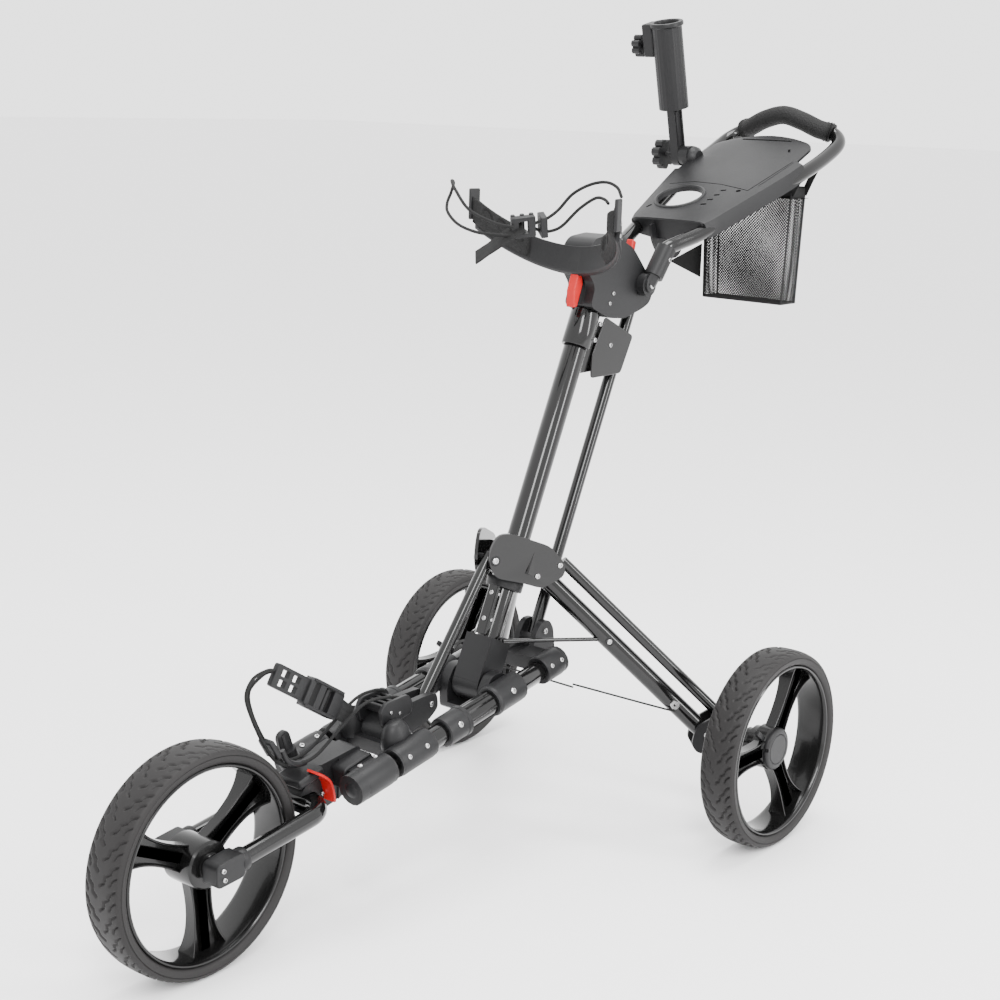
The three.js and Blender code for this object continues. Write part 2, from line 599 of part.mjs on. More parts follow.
// ---------------------------------------------------------------- handle
const HALF_HANDLE = [
  v(41, 42, 824), v(42, 54, 843), v(47, 74, 851), v(58, 112, 863), v(67, 155, 880), v(86, 245, 917),
  v(103, 330, 952), v(107, 395, 978), v(104, 436, 998), v(86, 452, 1012), v(62, 442, 1020), v(34, 436, 1032),
];
const handlePoints = [
  ...HALF_HANDLE,
  v(0, 436, 1040),
  ...HALF_HANDLE.map((p) => v(-p.x, p.y, p.z)).reverse(),
];
const handleCurve = new THREE.CatmullRomCurve3(handlePoints, false, 'centripetal');
addMesh(trolley, 'handle_tube', sweep(handleCurve, HANDLE_TUBE, HANDLE_BORE, 10, 56), GLOSS);

// A stretch of the handle's own curve, for what is fitted round it.
function handleStretch(from, to, count) {
  const points = [];
  for (let i = 0; i <= count; i += 1) points.push(handleCurve.getPointAt(from + ((to - from) * i) / count));
  return new THREE.CatmullRomCurve3(points, false, 'centripetal');
}
const gripRoute = handleStretch(0.435, 0.565, 12);
addMesh(trolley, 'grip', sweep(gripRoute, GRIP_RADIUS, HANDLE_TUBE + 2, 12, 12), FOAM);

for (const side of [1, -1]) {
  const [x0, x1] = side > 0 ? [25, 38] : [-38, -25];
  const ear = pin(HANDLE_PIVOT.y, HANDLE_PIVOT.z, x0, x1, 17, 16);
  const socket = bar(v(side * 38, 30, 804), v(side * 41.5, 56, 845), 15, 0, 14);
  const web = bar(v(side * 34, 22, 792), v(side * 39, 36, 816), 12, 0, 10);
  const [from, to] = side > 0 ? [0, 0.06] : [0.94, 1];
  const tubeBore = sweep(handleStretch(from, to, 5), HANDLE_TUBE + 1.6, 0, 14, 12);
  const tubeEnd = bar(v(side * 41, 41.6, 823.4), v(side * 41.2, 44, 827.5), HANDLE_TUBE + 1.6, 0, 14);
  const room = box(60, 90, 90, side * -5.5, 22, 792);
  const body = cut(join(ear, socket, web), tubeBore, tubeEnd, room);
  addMesh(trolley, side > 0 ? 'handle_socket_left' : 'handle_socket_right', body, PLASTIC);
}

// ---------------------------------------------------------------- tray and net bag
const tray = addGroup(trolley, TRAY_START, TRAY_SLOPE);
const trayOutline = roundedOutline([
  [-72, -36], [72, -36], [92, 60], [109, 170], [104, 236], [60, 280], [0, 292], [-60, 280], [-104, 236],
  [-109, 170], [-92, 60],
], 26, 4);
const trayPlate = flatPlate(trayOutline, TRAY_LOW, TRAY_LOW + TRAY_THICK);
const CUP_CENTRE = v(-26, 40, 0);
const cupHole = bar(v(CUP_CENTRE.x, CUP_CENTRE.y, 0), v(CUP_CENTRE.x, CUP_CENTRE.y, 30), CUP_RADIUS, 0, 24);
const frontWall = box(84, 4, 26, 0, -33, 3);
const strapDepth = 52;
const strap = sidePlate([
  [-34, TRAY_LOW + 2], [-34, -10], [-12, -strapDepth], [6, -strapDepth], [6, -strapDepth + 4],
  [-10, -strapDepth + 4], [-30, -8], [-30, TRAY_LOW + 2],
], -38, -14);
const knuckleNotch = box(44, 68, 60, -104, 180, 6);
addMesh(tray, 'tray', cut(join(trayPlate, frontWall, strap), cupHole, knuckleNotch), PLASTIC);

const BAG_HALF = 82;                   // it hangs across the trolley between the handle's tubes
const BAG_FRONT = 338;
const BAG_DEPTH = 46;
const BAG_FLOOR = 742;
const BAG_HEIGHT = 182;
const BAG_WALL = 4;
const bagMiddle = BAG_FRONT + BAG_DEPTH / 2;
const bagOutside = box(2 * BAG_HALF, BAG_DEPTH, BAG_HEIGHT, 0, bagMiddle, BAG_FLOOR + BAG_HEIGHT / 2);
const bagInside = box(
  2 * (BAG_HALF - BAG_WALL),
  BAG_DEPTH - 2 * BAG_WALL,
  BAG_HEIGHT,
  0,
  bagMiddle,
  BAG_FLOOR + BAG_WALL + BAG_HEIGHT / 2,
);
addMesh(trolley, 'net_bag', cut(bagOutside, bagInside), NET);

// ---------------------------------------------------------------- umbrella holder
const KNUCKLE_AT = 0.292;              // where the clamp grips the right-hand handle tube
const clampPoint = handleCurve.getPointAt(1 - KNUCKLE_AT);
const clampAlong = handleCurve.getTangentAt(1 - KNUCKLE_AT);
const ringFrom = clampPoint.clone().addScaledVector(clampAlong, -12);
const ringTo = clampPoint.clone().addScaledVector(clampAlong, 12);
const ringBody = bar(ringFrom, ringTo, 19, 0, 14);
const ringBore = bar(
  clampPoint.clone().addScaledVector(clampAlong, -30),
  clampPoint.clone().addScaledVector(clampAlong, 30),
  HANDLE_TUBE + 0.9, 0, 14,
);
const earStart = UMBRELLA_PIVOT.x + 9;
const knuckleEar = pin(UMBRELLA_PIVOT.y, UMBRELLA_PIVOT.z, earStart, earStart + 17, 15, 16);
const armSpace = box(20, 90, 120, UMBRELLA_PIVOT.x - 1.8, UMBRELLA_PIVOT.y, UMBRELLA_PIVOT.z);
addMesh(trolley, 'umbrella_knuckle', cut(join(ringBody, knuckleEar), ringBore, armSpace), PLASTIC);

const umbrella = addGroup(trolley, UMBRELLA_PIVOT, UMBRELLA_LEAN);
const armBlock = join(box(15, 22, 84, 0, 0, 34), pin(0, -6, -7.5, 7.5, 12, 14));
addMesh(umbrella, 'umbrella_arm', cut(armBlock, pin(0, 0, -20, 20, 4.4, 10)), PLASTIC);
const holderTube = bar(v(0, 0, 76 + GAP), v(0, 0, 214), 24, 0, 24);
const holderRim = bar(v(0, 0, 208), v(0, 0, 214), 27, 0, 24);
const holderSide = box(20, 30, 50, -29, 0, 186);
const holderBore = bar(v(0, 0, 84), v(0, 0, 230), 20, 0, 24);
const holderDrill = bar(v(-50, 0, 176), v(-10, 0, 176), 4.4, 0, 10);
const holder = cut(join(holderTube, holderRim, holderSide), holderBore, holderDrill);
addMesh(umbrella, 'umbrella_tube', holder, PLASTIC);

function knobGeometry(radius, stem) {
  const lobes = [];
  for (let i = 0; i < 7; i += 1) {
    const angle = (i * 2 * Math.PI) / 7;
    const out = radius * 0.75;
    lobes.push(pin(out * Math.cos(angle), out * Math.sin(angle), -14, 0, radius * 0.32, 8));
  }
  return join(pin(0, 0, -14, 0, radius * 0.76, 16), ...lobes, pin(0, 0, -1, stem, 4, 10));
}
addMesh(umbrella, 'umbrella_clamp_knob', knobGeometry(17, 22).translate(-47, 0, 176), PLASTIC);
addMesh(umbrella, 'umbrella_tilt_knob', knobGeometry(23, 30).translate(-23, 0, 0), PLASTIC);

// ---------------------------------------------------------------- elastic cords
function addCord(name, points, radius, steps) {
  const curve = new THREE.CatmullRomCurve3(points.map(([x, y, z]) => v(x, y, z)), false, 'centripetal');
  addMesh(trolley, name, sweep(curve, radius, 0, 8, steps), CORD);
}

// The upper strap's two elastic loops, from the cradle's tips to the buckle in front of it.
addCord('upper_bungee_left', [
  [124, -178, 930], [112, -172, 942], [92, -170, 948], [70, -176, 944], [46, -184, 930], [30, -194, 908],
  [20, -206, 896], [10, -216, 890], [2, -214, 884], [6, -202, 878], [18, -196, 878], [34, -190, 886],
  [56, -182, 910], [80, -178, 926], [98, -182, 926], [110, -188, 921],
], BUNGEE_RADIUS, 44);
addCord('upper_bungee_right', [
  [-6, -246, 884], [-24, -262, 888], [-60, -276, 904], [-96, -266, 930], [-120, -246, 940],
  [-134, -226, 936], [-142, -222, 922], [-140, -232, 908], [-126, -246, 896], [-96, -258, 882],
  [-60, -262, 874], [-28, -256, 872], [-8, -244, 872],
], BUNGEE_RADIUS, 44);
// The lower strap's elastic loop runs from the ratchet to a hook on the front bracket and up.
addCord('lower_bungee', [
  [14, -480, 270], [12, -505, 276], [9, -545, 276], [8, -590, 252], [8, -632, 228], [8, -668, 226],
  [8, -700, 238], [8, -724, 270], [8, -744, 310], [8, -752, 338], [6, -738, 356], [4, -714, 360],
  [0, -700, 356], [-4, -714, 352], [-6, -734, 336], [-6, -730, 308], [-5, -712, 270], [-4, -690, 240],
  [-4, -662, 228], [-4, -630, 234], [-4, -590, 258], [-6, -545, 280], [-12, -505, 280], [-14, -480, 274],
], BUNGEE_RADIUS, 76);

trolley.updateMatrixWorld(true);
const outline = new THREE.Box3().setFromObject(trolley, true);
trolley.position.y = -(outline.min.y + outline.max.y) / 2;

export default trolley;
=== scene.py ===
"""The golf push trolley's looks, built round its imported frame.

Lengths below are in millimetres, with y measured from the rear axle, and at() turns them into the
row frame's metres. The front wheel is at -Y and +X is the trolley's own left.
"""

import math

import bmesh
import bpy
from mathutils import Matrix, Vector


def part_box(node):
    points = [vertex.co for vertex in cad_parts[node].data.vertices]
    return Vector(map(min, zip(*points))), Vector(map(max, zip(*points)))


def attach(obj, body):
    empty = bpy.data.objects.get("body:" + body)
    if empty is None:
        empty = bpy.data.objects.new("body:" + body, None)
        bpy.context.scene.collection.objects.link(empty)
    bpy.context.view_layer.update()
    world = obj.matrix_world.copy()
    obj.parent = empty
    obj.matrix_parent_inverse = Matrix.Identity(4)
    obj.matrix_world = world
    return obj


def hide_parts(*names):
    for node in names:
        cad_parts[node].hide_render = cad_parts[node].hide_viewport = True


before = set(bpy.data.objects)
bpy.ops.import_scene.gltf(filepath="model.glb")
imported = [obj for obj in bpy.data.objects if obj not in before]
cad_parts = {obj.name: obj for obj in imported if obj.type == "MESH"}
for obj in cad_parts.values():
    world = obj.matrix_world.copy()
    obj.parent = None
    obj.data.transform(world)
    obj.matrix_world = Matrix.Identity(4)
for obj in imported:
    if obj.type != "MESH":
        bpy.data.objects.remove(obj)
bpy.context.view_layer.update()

MM = 0.001
AXLE_LOW, AXLE_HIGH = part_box("rear_left_axle")
AXLE_Y = (AXLE_LOW.y + AXLE_HIGH.y) / 2


def at(x, y, z):
    """A point given in millimetres, in the row frame."""
    return Vector((x * MM, y * MM + AXLE_Y, z * MM))


# ---------------------------------------------------------------- driving dimensions
WHEEL_RADIUS = 146
FRONT_WIDTH = 62
REAR_WIDTH = 55
TRACK_HALF = 302.5
WHEELBASE = 828
RAIL_X = 60
RAIL_SLOPE = math.radians(10.5)
MAST_LEAN = math.radians(24)
HANDLE_RADIUS = 11
GRIP_RADIUS = 15.5
CRADLE_RADIUS = 128
CRADLE_LIP_Y = -116
CRADLE_LIP_Z = 818
CRADLE_TILT = math.radians(38)
CRADLE_HEIGHT = 34
TRAY_SLOPE = math.radians(23)
UMBRELLA_LEAN = math.radians(14)
BUNGEE_RADIUS = 2.2


def on_rail(x, along, height=0):
    """A point beside a lower rail: across, along the slope and square to it."""
    y = -611 + along * math.cos(RAIL_SLOPE) - height * math.sin(RAIL_SLOPE)
    z = 193 + along * math.sin(RAIL_SLOPE) + height * math.cos(RAIL_SLOPE)
    return at(x, y, z)


def on_mast(x, back, height):
    """A point beside the mast: across, behind it and up it from its foot pivot."""
    y = -309 + back * math.cos(MAST_LEAN) + height * math.sin(MAST_LEAN)
    z = 245 - back * math.sin(MAST_LEAN) + height * math.cos(MAST_LEAN)
    return at(x, y, z)


def on_tray(x, along, height=0):
    """A point on the sloping tray."""
    y = 155 + along * math.cos(TRAY_SLOPE) - height * math.sin(TRAY_SLOPE)
    z = 880 + along * math.sin(TRAY_SLOPE) + height * math.cos(TRAY_SLOPE)
    return at(x, y, z)


def on_umbrella(x, back, height):
    """A point beside the umbrella holder, from its tilting pivot."""
    y = 316 + back * math.cos(UMBRELLA_LEAN) - height * math.sin(UMBRELLA_LEAN)
    z = 972 + back * math.sin(UMBRELLA_LEAN) + height * math.cos(UMBRELLA_LEAN)
    return at(-122 + x, y, z)


ACROSS = Vector((1, 0, 0))
RAIL_ALONG = Vector((0, math.cos(RAIL_SLOPE), math.sin(RAIL_SLOPE)))
MAST_UP = Vector((0, math.sin(MAST_LEAN), math.cos(MAST_LEAN)))
TRAY_ALONG = Vector((0, math.cos(TRAY_SLOPE), math.sin(TRAY_SLOPE)))
TRAY_UP = Vector((0, -math.sin(TRAY_SLOPE), math.cos(TRAY_SLOPE)))
UMBRELLA_UP = Vector((0, -math.sin(UMBRELLA_LEAN), math.cos(UMBRELLA_LEAN)))


# ---------------------------------------------------------------- materials
def node(tree, kind, **inputs):
    """A shader node; its keyword inputs are plain values or other nodes' sockets."""
    made = tree.nodes.new(kind)
    for name, value in inputs.items():
        socket = made.inputs[name.replace("_", " ")]
        if isinstance(value, bpy.types.NodeSocket):
            tree.links.new(value, socket)
        else:
            socket.default_value = value
    return made


def base_material(name, roughness, metallic=0.0, coat=0.0):
    material = bpy.data.materials.new(name)
    material.use_nodes = True
    shader = material.node_tree.nodes["Principled BSDF"]
    shader.inputs["Roughness"].default_value = roughness
    shader.inputs["Metallic"].default_value = metallic
    shader.inputs["Coat Weight"].default_value = coat
    shader.inputs["Coat Roughness"].default_value = 0.05
    shader.inputs["Specular IOR Level"].default_value = 0.5 if metallic else 0.22
    return material, material.node_tree, shader


def mottled(tree, shader, dark, light, scale, coords):
    """A base colour that drifts between two close tones."""
    drift = node(tree, "ShaderNodeTexNoise", Scale=scale, Detail=3.0, Vector=coords)
    mix = node(tree, "ShaderNodeMix")
    mix.data_type = "RGBA"
    mix.inputs[6].default_value = (*dark, 1)
    mix.inputs[7].default_value = (*light, 1)
    tree.links.new(drift.outputs["Fac"], mix.inputs[0])
    tree.links.new(mix.outputs[2], shader.inputs["Base Color"])
    return drift


def bumped(tree, shader, height, distance, strength=1.0):
    bump = node(tree, "ShaderNodeBump", Strength=strength, Distance=distance, Height=height)
    tree.links.new(bump.outputs["Normal"], shader.inputs["Normal"])


def rough_range(tree, shader, source, low, high):
    spread = node(tree, "ShaderNodeMapRange", Value=source, To_Min=low, To_Max=high)
    tree.links.new(spread.outputs["Result"], shader.inputs["Roughness"])


def grained(name, dark, light, roughness, grain_scale, grain_depth, **extra):
    """A surface with a fine grain, a slow change of tone and uneven shine."""
    material, tree, shader = base_material(name, roughness[0], **extra)
    coords = node(tree, "ShaderNodeTexCoord").outputs["Object"]
    drift = mottled(tree, shader, dark, light, 14.0, coords)
    rough_range(tree, shader, drift.outputs["Fac"], *roughness)
    grain = node(tree, "ShaderNodeTexNoise", Scale=grain_scale, Detail=4.0, Vector=coords)
    bumped(tree, shader, grain.outputs["Fac"], grain_depth)
    return material


def pebbled(name, dark, light, scale, depth):
    """Foam rubber with small round pebbles."""
    material, tree, shader = base_material(name, 0.7)
    coords = node(tree, "ShaderNodeTexCoord").outputs["Object"]
    mottled(tree, shader, dark, light, 30.0, coords)
    cells = node(tree, "ShaderNodeTexVoronoi", Scale=scale, Vector=coords)
    bumped(tree, shader, cells.outputs["Distance"], depth)
    return material


def woven(name, dark, light, across, along, depth):
    """Two crossing sets of threads laid in the piece's own unrolled coordinates, with painted shade in the
    grooves between them.
    """
    material, tree, shader = base_material(name, 0.75)
    coords = node(tree, "ShaderNodeTexCoord").outputs["UV"]
    heights = []
    for turn in (math.pi / 4, -math.pi / 4):
        mapping = node(
            tree, "ShaderNodeMapping", Vector=coords, Scale=(across, along, 1), Rotation=(0, 0, turn),
        )
        threads = node(tree, "ShaderNodeTexWave", Scale=1.0, Vector=mapping.outputs["Vector"])
        heights.append(threads.outputs["Fac"])
    weave = node(tree, "ShaderNodeMath")
    weave.operation = "MAXIMUM"
    tree.links.new(heights[0], weave.inputs[0])
    tree.links.new(heights[1], weave.inputs[1])
    # Painted shade: the colour follows the weave's height, darker in the grooves between the threads and
    # lighter on their crests.
    mix = node(tree, "ShaderNodeMix")
    mix.data_type = "RGBA"
    mix.inputs[6].default_value = (*dark, 1)
    mix.inputs[7].default_value = (*light, 1)
    tree.links.new(weave.outputs[0], mix.inputs[0])
    tree.links.new(mix.outputs[2], shader.inputs["Base Color"])
    bumped(tree, shader, weave.outputs[0], depth)
    return material


LOOKS = {
    "painted_tube": grained(
        "gloss black paint", (0.0025,) * 3, (0.004,) * 3, (0.1, 0.18), 900.0, 0.000004, coat=0.3,
    ),
    "moulded_plastic": grained(
        "charcoal moulded plastic", (0.0055, 0.0055, 0.006), (0.009, 0.009, 0.0095), (0.36, 0.5), 1300.0,
        0.0001,
    ),
    "rim_gloss": grained(
        "gloss rim plastic", (0.003,) * 3, (0.005,) * 3, (0.16, 0.26), 700.0, 0.00001, coat=0.15,
    ),
    "tyre_rubber": grained(
        "tread rubber", (0.0075, 0.007, 0.007), (0.012, 0.011, 0.011), (0.5, 0.64), 800.0, 0.0001,
    ),
    "steel": grained(
        "zinc-plated steel", (0.34,) * 3, (0.5,) * 3, (0.18, 0.34), 500.0, 0.00002, metallic=1.0,
    ),
    "red_plastic": grained(
        "red lever plastic", (0.3, 0.006, 0.006), (0.4, 0.01, 0.009), (0.34, 0.46), 900.0, 0.00005,
    ),
    "foam": pebbled("pebbled foam", (0.004,) * 3, (0.008,) * 3, 420.0, 0.0009),
    # The cord and net looks carry painted shade in the grooves of their weave.
    "elastic_cord": woven("braided elastic", (0.003,) * 3, (0.011,) * 3, 6.0, 6.0, 0.0003),
    "net_fabric": woven("woven net and edging", (0.003,) * 3, (0.008,) * 3, 3.0, 3.0, 0.0002),
    "stay_cable": grained("coated cable", (0.004,) * 3, (0.007,) * 3, (0.4, 0.5), 600.0, 0.00003),
}


# ---------------------------------------------------------------- meshes
def make(name, points, faces, smooth=35, uvs=None):
    """A mesh object from points in metres. uvs has one pair for each corner of each face."""
    mesh = bpy.data.meshes.new(name)
    mesh.from_pydata([tuple(p) for p in points], [], faces)
    if uvs:
        layer = mesh.uv_layers.new(name="unrolled")
        layer.data.foreach_set("uv", [value for pair in uvs for value in pair])
    mesh.shade_smooth()
    mesh.set_sharp_from_angle(angle=math.radians(smooth))
    made = bpy.data.objects.new(name, mesh)
    bpy.context.scene.collection.objects.link(made)
    return made


def dress(piece, body, slot, *replaced):
    """Gives a piece its look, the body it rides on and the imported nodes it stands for."""
    piece.data.materials.clear()
    piece.data.materials.append(LOOKS[slot])
    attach(piece, body)
    if replaced:
        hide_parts(*replaced)
    return piece


def soften(piece, width, segments=2, angle=32):
    """Rounds a piece's sharp edges; width is in millimetres."""
    bevel = piece.modifiers.new("round edges", "BEVEL")
    bevel.width = width * MM
    bevel.segments = segments
    bevel.limit_method = "ANGLE"
    bevel.angle_limit = math.radians(angle)
    bevel.harden_normals = False
    return piece


def baked(piece):
    """Turns a piece's modifiers into plain mesh."""
    graph = bpy.context.evaluated_depsgraph_get()
    mesh = bpy.data.meshes.new_from_object(piece.evaluated_get(graph))
    piece.modifiers.clear()
    piece.data = mesh
    return piece


def carve(piece, *cutters):
    """Cuts other pieces' shapes away from a piece."""
    for cutter in cutters:
        step = piece.modifiers.new("cut", "BOOLEAN")
        step.operation = "DIFFERENCE"
        step.solver = "EXACT"
        step.object = cutter
    baked(piece)
    for cutter in cutters:
        bpy.data.objects.remove(cutter)
    piece.data.shade_smooth()
    piece.data.set_sharp_from_angle(angle=math.radians(35))
    return piece


def circle(radius, sides):
    """A round section, as offsets in millimetres."""
    step = 2 * math.pi / sides
    return [(radius * math.cos(i * step), radius * math.sin(i * step)) for i in range(sides)]


def strip(width, thick):
    """A flat strap's section."""
    a, b = width / 2, thick / 2
    return [(-a, -b), (-a + b, -b), (a - b, -b), (a, -b), (a, b), (a - b, b), (-a + b, b), (-a, b)]


def spline(points, per=8):
    """A smooth line through some points."""
    ends = [points[0] * 2 - points[1], *points, points[-1] * 2 - points[-2]]
    line = []
    for i in range(1, len(ends) - 2):
        a, b, c, d = ends[i - 1], ends[i], ends[i + 1], ends[i + 2]
        for k in range(per):
            t = k / per
            curve = (b * 2) + (c - a) * t + (
                a * 2 - b * 5 + c * 4 - d
            ) * t * t + (b * 3 - a - c * 3 + d) * t ** 3
            line.append(curve / 2)
    line.append(points[-1].copy())
    return line


def sweep(name, path, section, up=None, caps=True, smooth=40):
    """Runs a section along a path.

    section is a list of offsets, or a function of the share of the way along.
    """
    count = len(path)
    normal = Vector(up) if up else None
    points = []
    lengths = [0.0]
    for i in range(1, count):
        lengths.append(lengths[-1] + (path[i] - path[i - 1]).length)
    for i in range(count):
        along = (path[min(i + 1, count - 1)] - path[max(i - 1, 0)]).normalized()
        if up:
            side = along.cross(Vector(up)).normalized()
        else:
            if normal is None:
                normal = along.orthogonal()
            side = along.cross(normal).normalized()
        normal = side.cross(along).normalized()
        offsets = section(lengths[i] / lengths[-1]) if callable(section) else section
        points += [path[i] + (side * a + normal * b) * MM for a, b in offsets]
    sides = len(points) // count
    faces = []
    uvs = []
    for i in range(count - 1):
        for j in range(sides):
            k = (j + 1) % sides
            faces.append((i * sides + j, i * sides + k, (i + 1) * sides + k, (i + 1) * sides + j))
            left, right = j / sides, (j + 1) / sides
            low, high = lengths[i] * 100, lengths[i + 1] * 100
            uvs += [(left, low), (right, low), (right, high), (left, high)]
    if caps:
        faces.append(tuple(reversed(range(sides))))
        faces.append(tuple(range((count - 1) * sides, count * sides)))
        uvs += [(0, 0)] * (2 * sides)
    made = make(name, points, faces, smooth, uvs)
    fix_normals(made)
    return made


def fix_normals(piece):
    mesh = bmesh.new()
    mesh.from_mesh(piece.data)
    bmesh.ops.recalc_face_normals(mesh, faces=mesh.faces)
    mesh.to_mesh(piece.data)
    mesh.free()


def tube(name, points, radius, sides=20, per=8):
    return sweep(name, spline(points, per), circle(radius, sides))


def rod(name, start, end, radius, sides=24):
    return lathe(
        name,
        [(0, 0), (radius - 0.6, 0), (radius, 0.6), (radius, -0.6), (radius - 0.6, 0), (0, 0)],
        start,
        end - start,
        sides,
        ends=(end - start).length / MM,
    )


def lathe(name, profile, origin, axis, steps=40, closed=False, ends=None, smooth=32):
    """Turns a profile of [radius, distance along] about an axis.

    With ends, a distance in the profile's second half is counted from the far end of that length."""
    axis = Vector(axis).normalized()
    side = axis.orthogonal().normalized()
    other = axis.cross(side)
    if ends is not None:
        half = len(profile) // 2
        profile = [(r, t if i < half else t + ends) for i, (r, t) in enumerate(profile)]
    points = []
    for r, t in profile:
        for i in range(steps):
            angle = 2 * math.pi * i / steps
            turn = side * math.cos(angle) + other * math.sin(angle)
            points.append(origin + (turn * max(r, 0.001) + axis * t) * MM)
    rows = len(profile)
    faces = []
    for i in range(rows if closed else rows - 1):
        for j in range(steps):
            a, b = i * steps, ((i + 1) % rows) * steps
            k = (j + 1) % steps
            faces.append((a + j, a + k, b + k, b + j))
    made = make(name, points, faces, smooth)
    mesh = bmesh.new()
    mesh.from_mesh(made.data)
    bmesh.ops.remove_doubles(mesh, verts=mesh.verts, dist=0.00001)
    bmesh.ops.recalc_face_normals(mesh, faces=mesh.faces)
    mesh.to_mesh(made.data)
    mesh.free()
    return made


def loft(name, rings, smooth=35):
    """Skins a row of closed rings of points, with flat ends."""
    sides = len(rings[0])
    points = [p for ring in rings for p in ring]
    faces = []
    for i in range(len(rings) - 1):
        for j in range(sides):
            k = (j + 1) % sides
            faces.append((i * sides + j, i * sides + k, (i + 1) * sides + k, (i + 1) * sides + j))
    faces.append(tuple(reversed(range(sides))))
    faces.append(tuple(range((len(rings) - 1) * sides, len(rings) * sides)))
    made = make(name, points, faces, smooth)
    fix_normals(made)
    return made


def plate(name, outline, place, thick, bevel=1.0):
    """An outline of [a, b] pairs; place(a, b, c) gives each point, with c through the thickness."""
    rings = [[place(a, b, c) for a, b in outline] for c in thick]
    return soften(loft(name, rings), bevel)


def rounded(points, radius, steps=4):
    """An outline with its corners rounded."""
    outline = []
    count = len(points)
    for i in range(count):
        here = Vector(points[i])
        before = Vector(points[i - 1])
        after = Vector(points[(i + 1) % count])
        start = here.lerp(before, min(radius / (here - before).length, 0.45))
        end = here.lerp(after, min(radius / (here - after).length, 0.45))
        for k in range(steps + 1):
            t = k / steps
            outline.append(tuple(start.lerp(here, t).lerp(here.lerp(end, t), t)))
    return outline


def block(name, centre, axes, size, bevel=1.0):
    """A box with rounded edges; axes are its own three directions and size is in millimetres."""
    ring = [(-1, -1), (1, -1), (1, 1), (-1, 1)]
    a, b, c = [Vector(axis).normalized() * length * MM / 2 for axis, length in zip(axes, size)]
    rings = [[centre + a * i + b * j + c * k for i, j in ring] for k in (-1, 1)]
    return soften(loft(name, rings), bevel)


def refined(node_name, body, slot, bevel=1.4, segments=2):
    """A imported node's own shape with its edges rounded and its round faces smoothed."""
    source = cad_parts[node_name]
    piece = bpy.data.objects.new(f"{node_name}_finished", source.data.copy())
    bpy.context.scene.collection.objects.link(piece)
    mesh = bmesh.new()
    mesh.from_mesh(piece.data)
    bmesh.ops.remove_doubles(mesh, verts=mesh.verts, dist=0.00002)
    bmesh.ops.dissolve_limit(mesh, angle_limit=math.radians(1.5), verts=mesh.verts, edges=mesh.edges)
    bmesh.ops.recalc_face_normals(mesh, faces=mesh.faces)
    mesh.to_mesh(piece.data)
    mesh.free()
    piece.data.shade_smooth()
    piece.data.set_sharp_from_angle(angle=math.radians(32))
    soften(piece, bevel, segments)
    return dress(piece, body, slot, node_name)


screw_count = 0


def screw(body, centre, axis, radius=3.6, head=2.4, washer=False):
    """A steel screw head with a socket, sitting on a face and pointing along axis."""
    global screw_count
    screw_count += 1
    profile = [
        (0, head * 0.3), (radius * 0.42, head * 0.3), (radius * 0.5, head), (radius * 0.72, head),
        (radius * 0.95, head * 0.6), (radius, 0.1), (radius, -1.5), (0, -1.5),
    ]
    head_piece = lathe(f"screw_{screw_count}", profile, centre, axis, 18)
    dress(head_piece, body, "steel")
    if washer:
        ring = [
            (radius + 0.4, 0.6), (radius + 2.2, 0.6), (radius + 2.6, 0), (radius + 2.6, -1),
            (radius + 0.4, -1),
        ]
        dress(
            lathe(f"screw_seat_{screw_count}", ring, centre, axis, 20, closed=True), body, "moulded_plastic"
        )


# ---------------------------------------------------------------- camera, light and floor
def set_camera():
    azimuth, elevation, roll = math.radians(39.259), math.radians(12.804), math.radians(1.728)
    target = at(8, -275, 508)
    back = Vector((
        math.sin(azimuth) * math.cos(elevation),
        -math.cos(azimuth) * math.cos(elevation),
        math.sin(elevation),
    ))
    data = bpy.data.cameras.new("camera")
    data.sensor_width = 36
    data.lens = 64.8
    data.clip_start = 0.05
    camera = bpy.data.objects.new("camera", data)
    bpy.context.scene.collection.objects.link(camera)
    camera.location = target + back * 2.5131
    facing = (-back).to_track_quat("-Z", "Y").to_matrix().to_4x4()
    camera.rotation_euler = (facing @ Matrix.Rotation(roll, 4, "Z")).to_euler()
    bpy.context.scene.camera = camera


def add_light(name, place, aim, size, power):
    data = bpy.data.lights.new(name, "AREA")
    data.shape = "RECTANGLE"
    data.size, data.size_y = size
    data.energy = power
    lamp = bpy.data.objects.new(name, data)
    bpy.context.scene.collection.objects.link(lamp)
    lamp.location = place
    lamp.rotation_euler = (Vector(aim) - Vector(place)).to_track_quat("-Z", "Y").to_euler()


def set_stage():
    world = bpy.data.worlds.new("studio")
    bpy.context.scene.world = world
    world.use_nodes = True
    world.node_tree.nodes["Background"].inputs["Color"].default_value = (1, 1, 1, 1)
    world.node_tree.nodes["Background"].inputs["Strength"].default_value = 2.6
    centre = at(0, -280, 500)
    add_light("key", centre + Vector((2.2, -2.4, 2.6)), centre, (0.9, 2.4), 170)
    add_light("edge strip", centre + Vector((3.0, 0.9, 1.2)), centre, (0.4, 2.6), 90)
    add_light("top", centre + Vector((0, 0.3, 3.0)), centre, (1.6, 1.6), 110)
    floor = make("floor", [(-40, -40, 0), (40, -40, 0), (40, 40, 0), (-40, 40, 0)], [(0, 1, 2, 3)])
    material, tree, shader = base_material("pale floor", 0.55)
    shader.inputs["Base Color"].default_value = (0.9, 0.895, 0.9, 1)
    floor.data.materials.append(material)


set_camera()
set_stage()


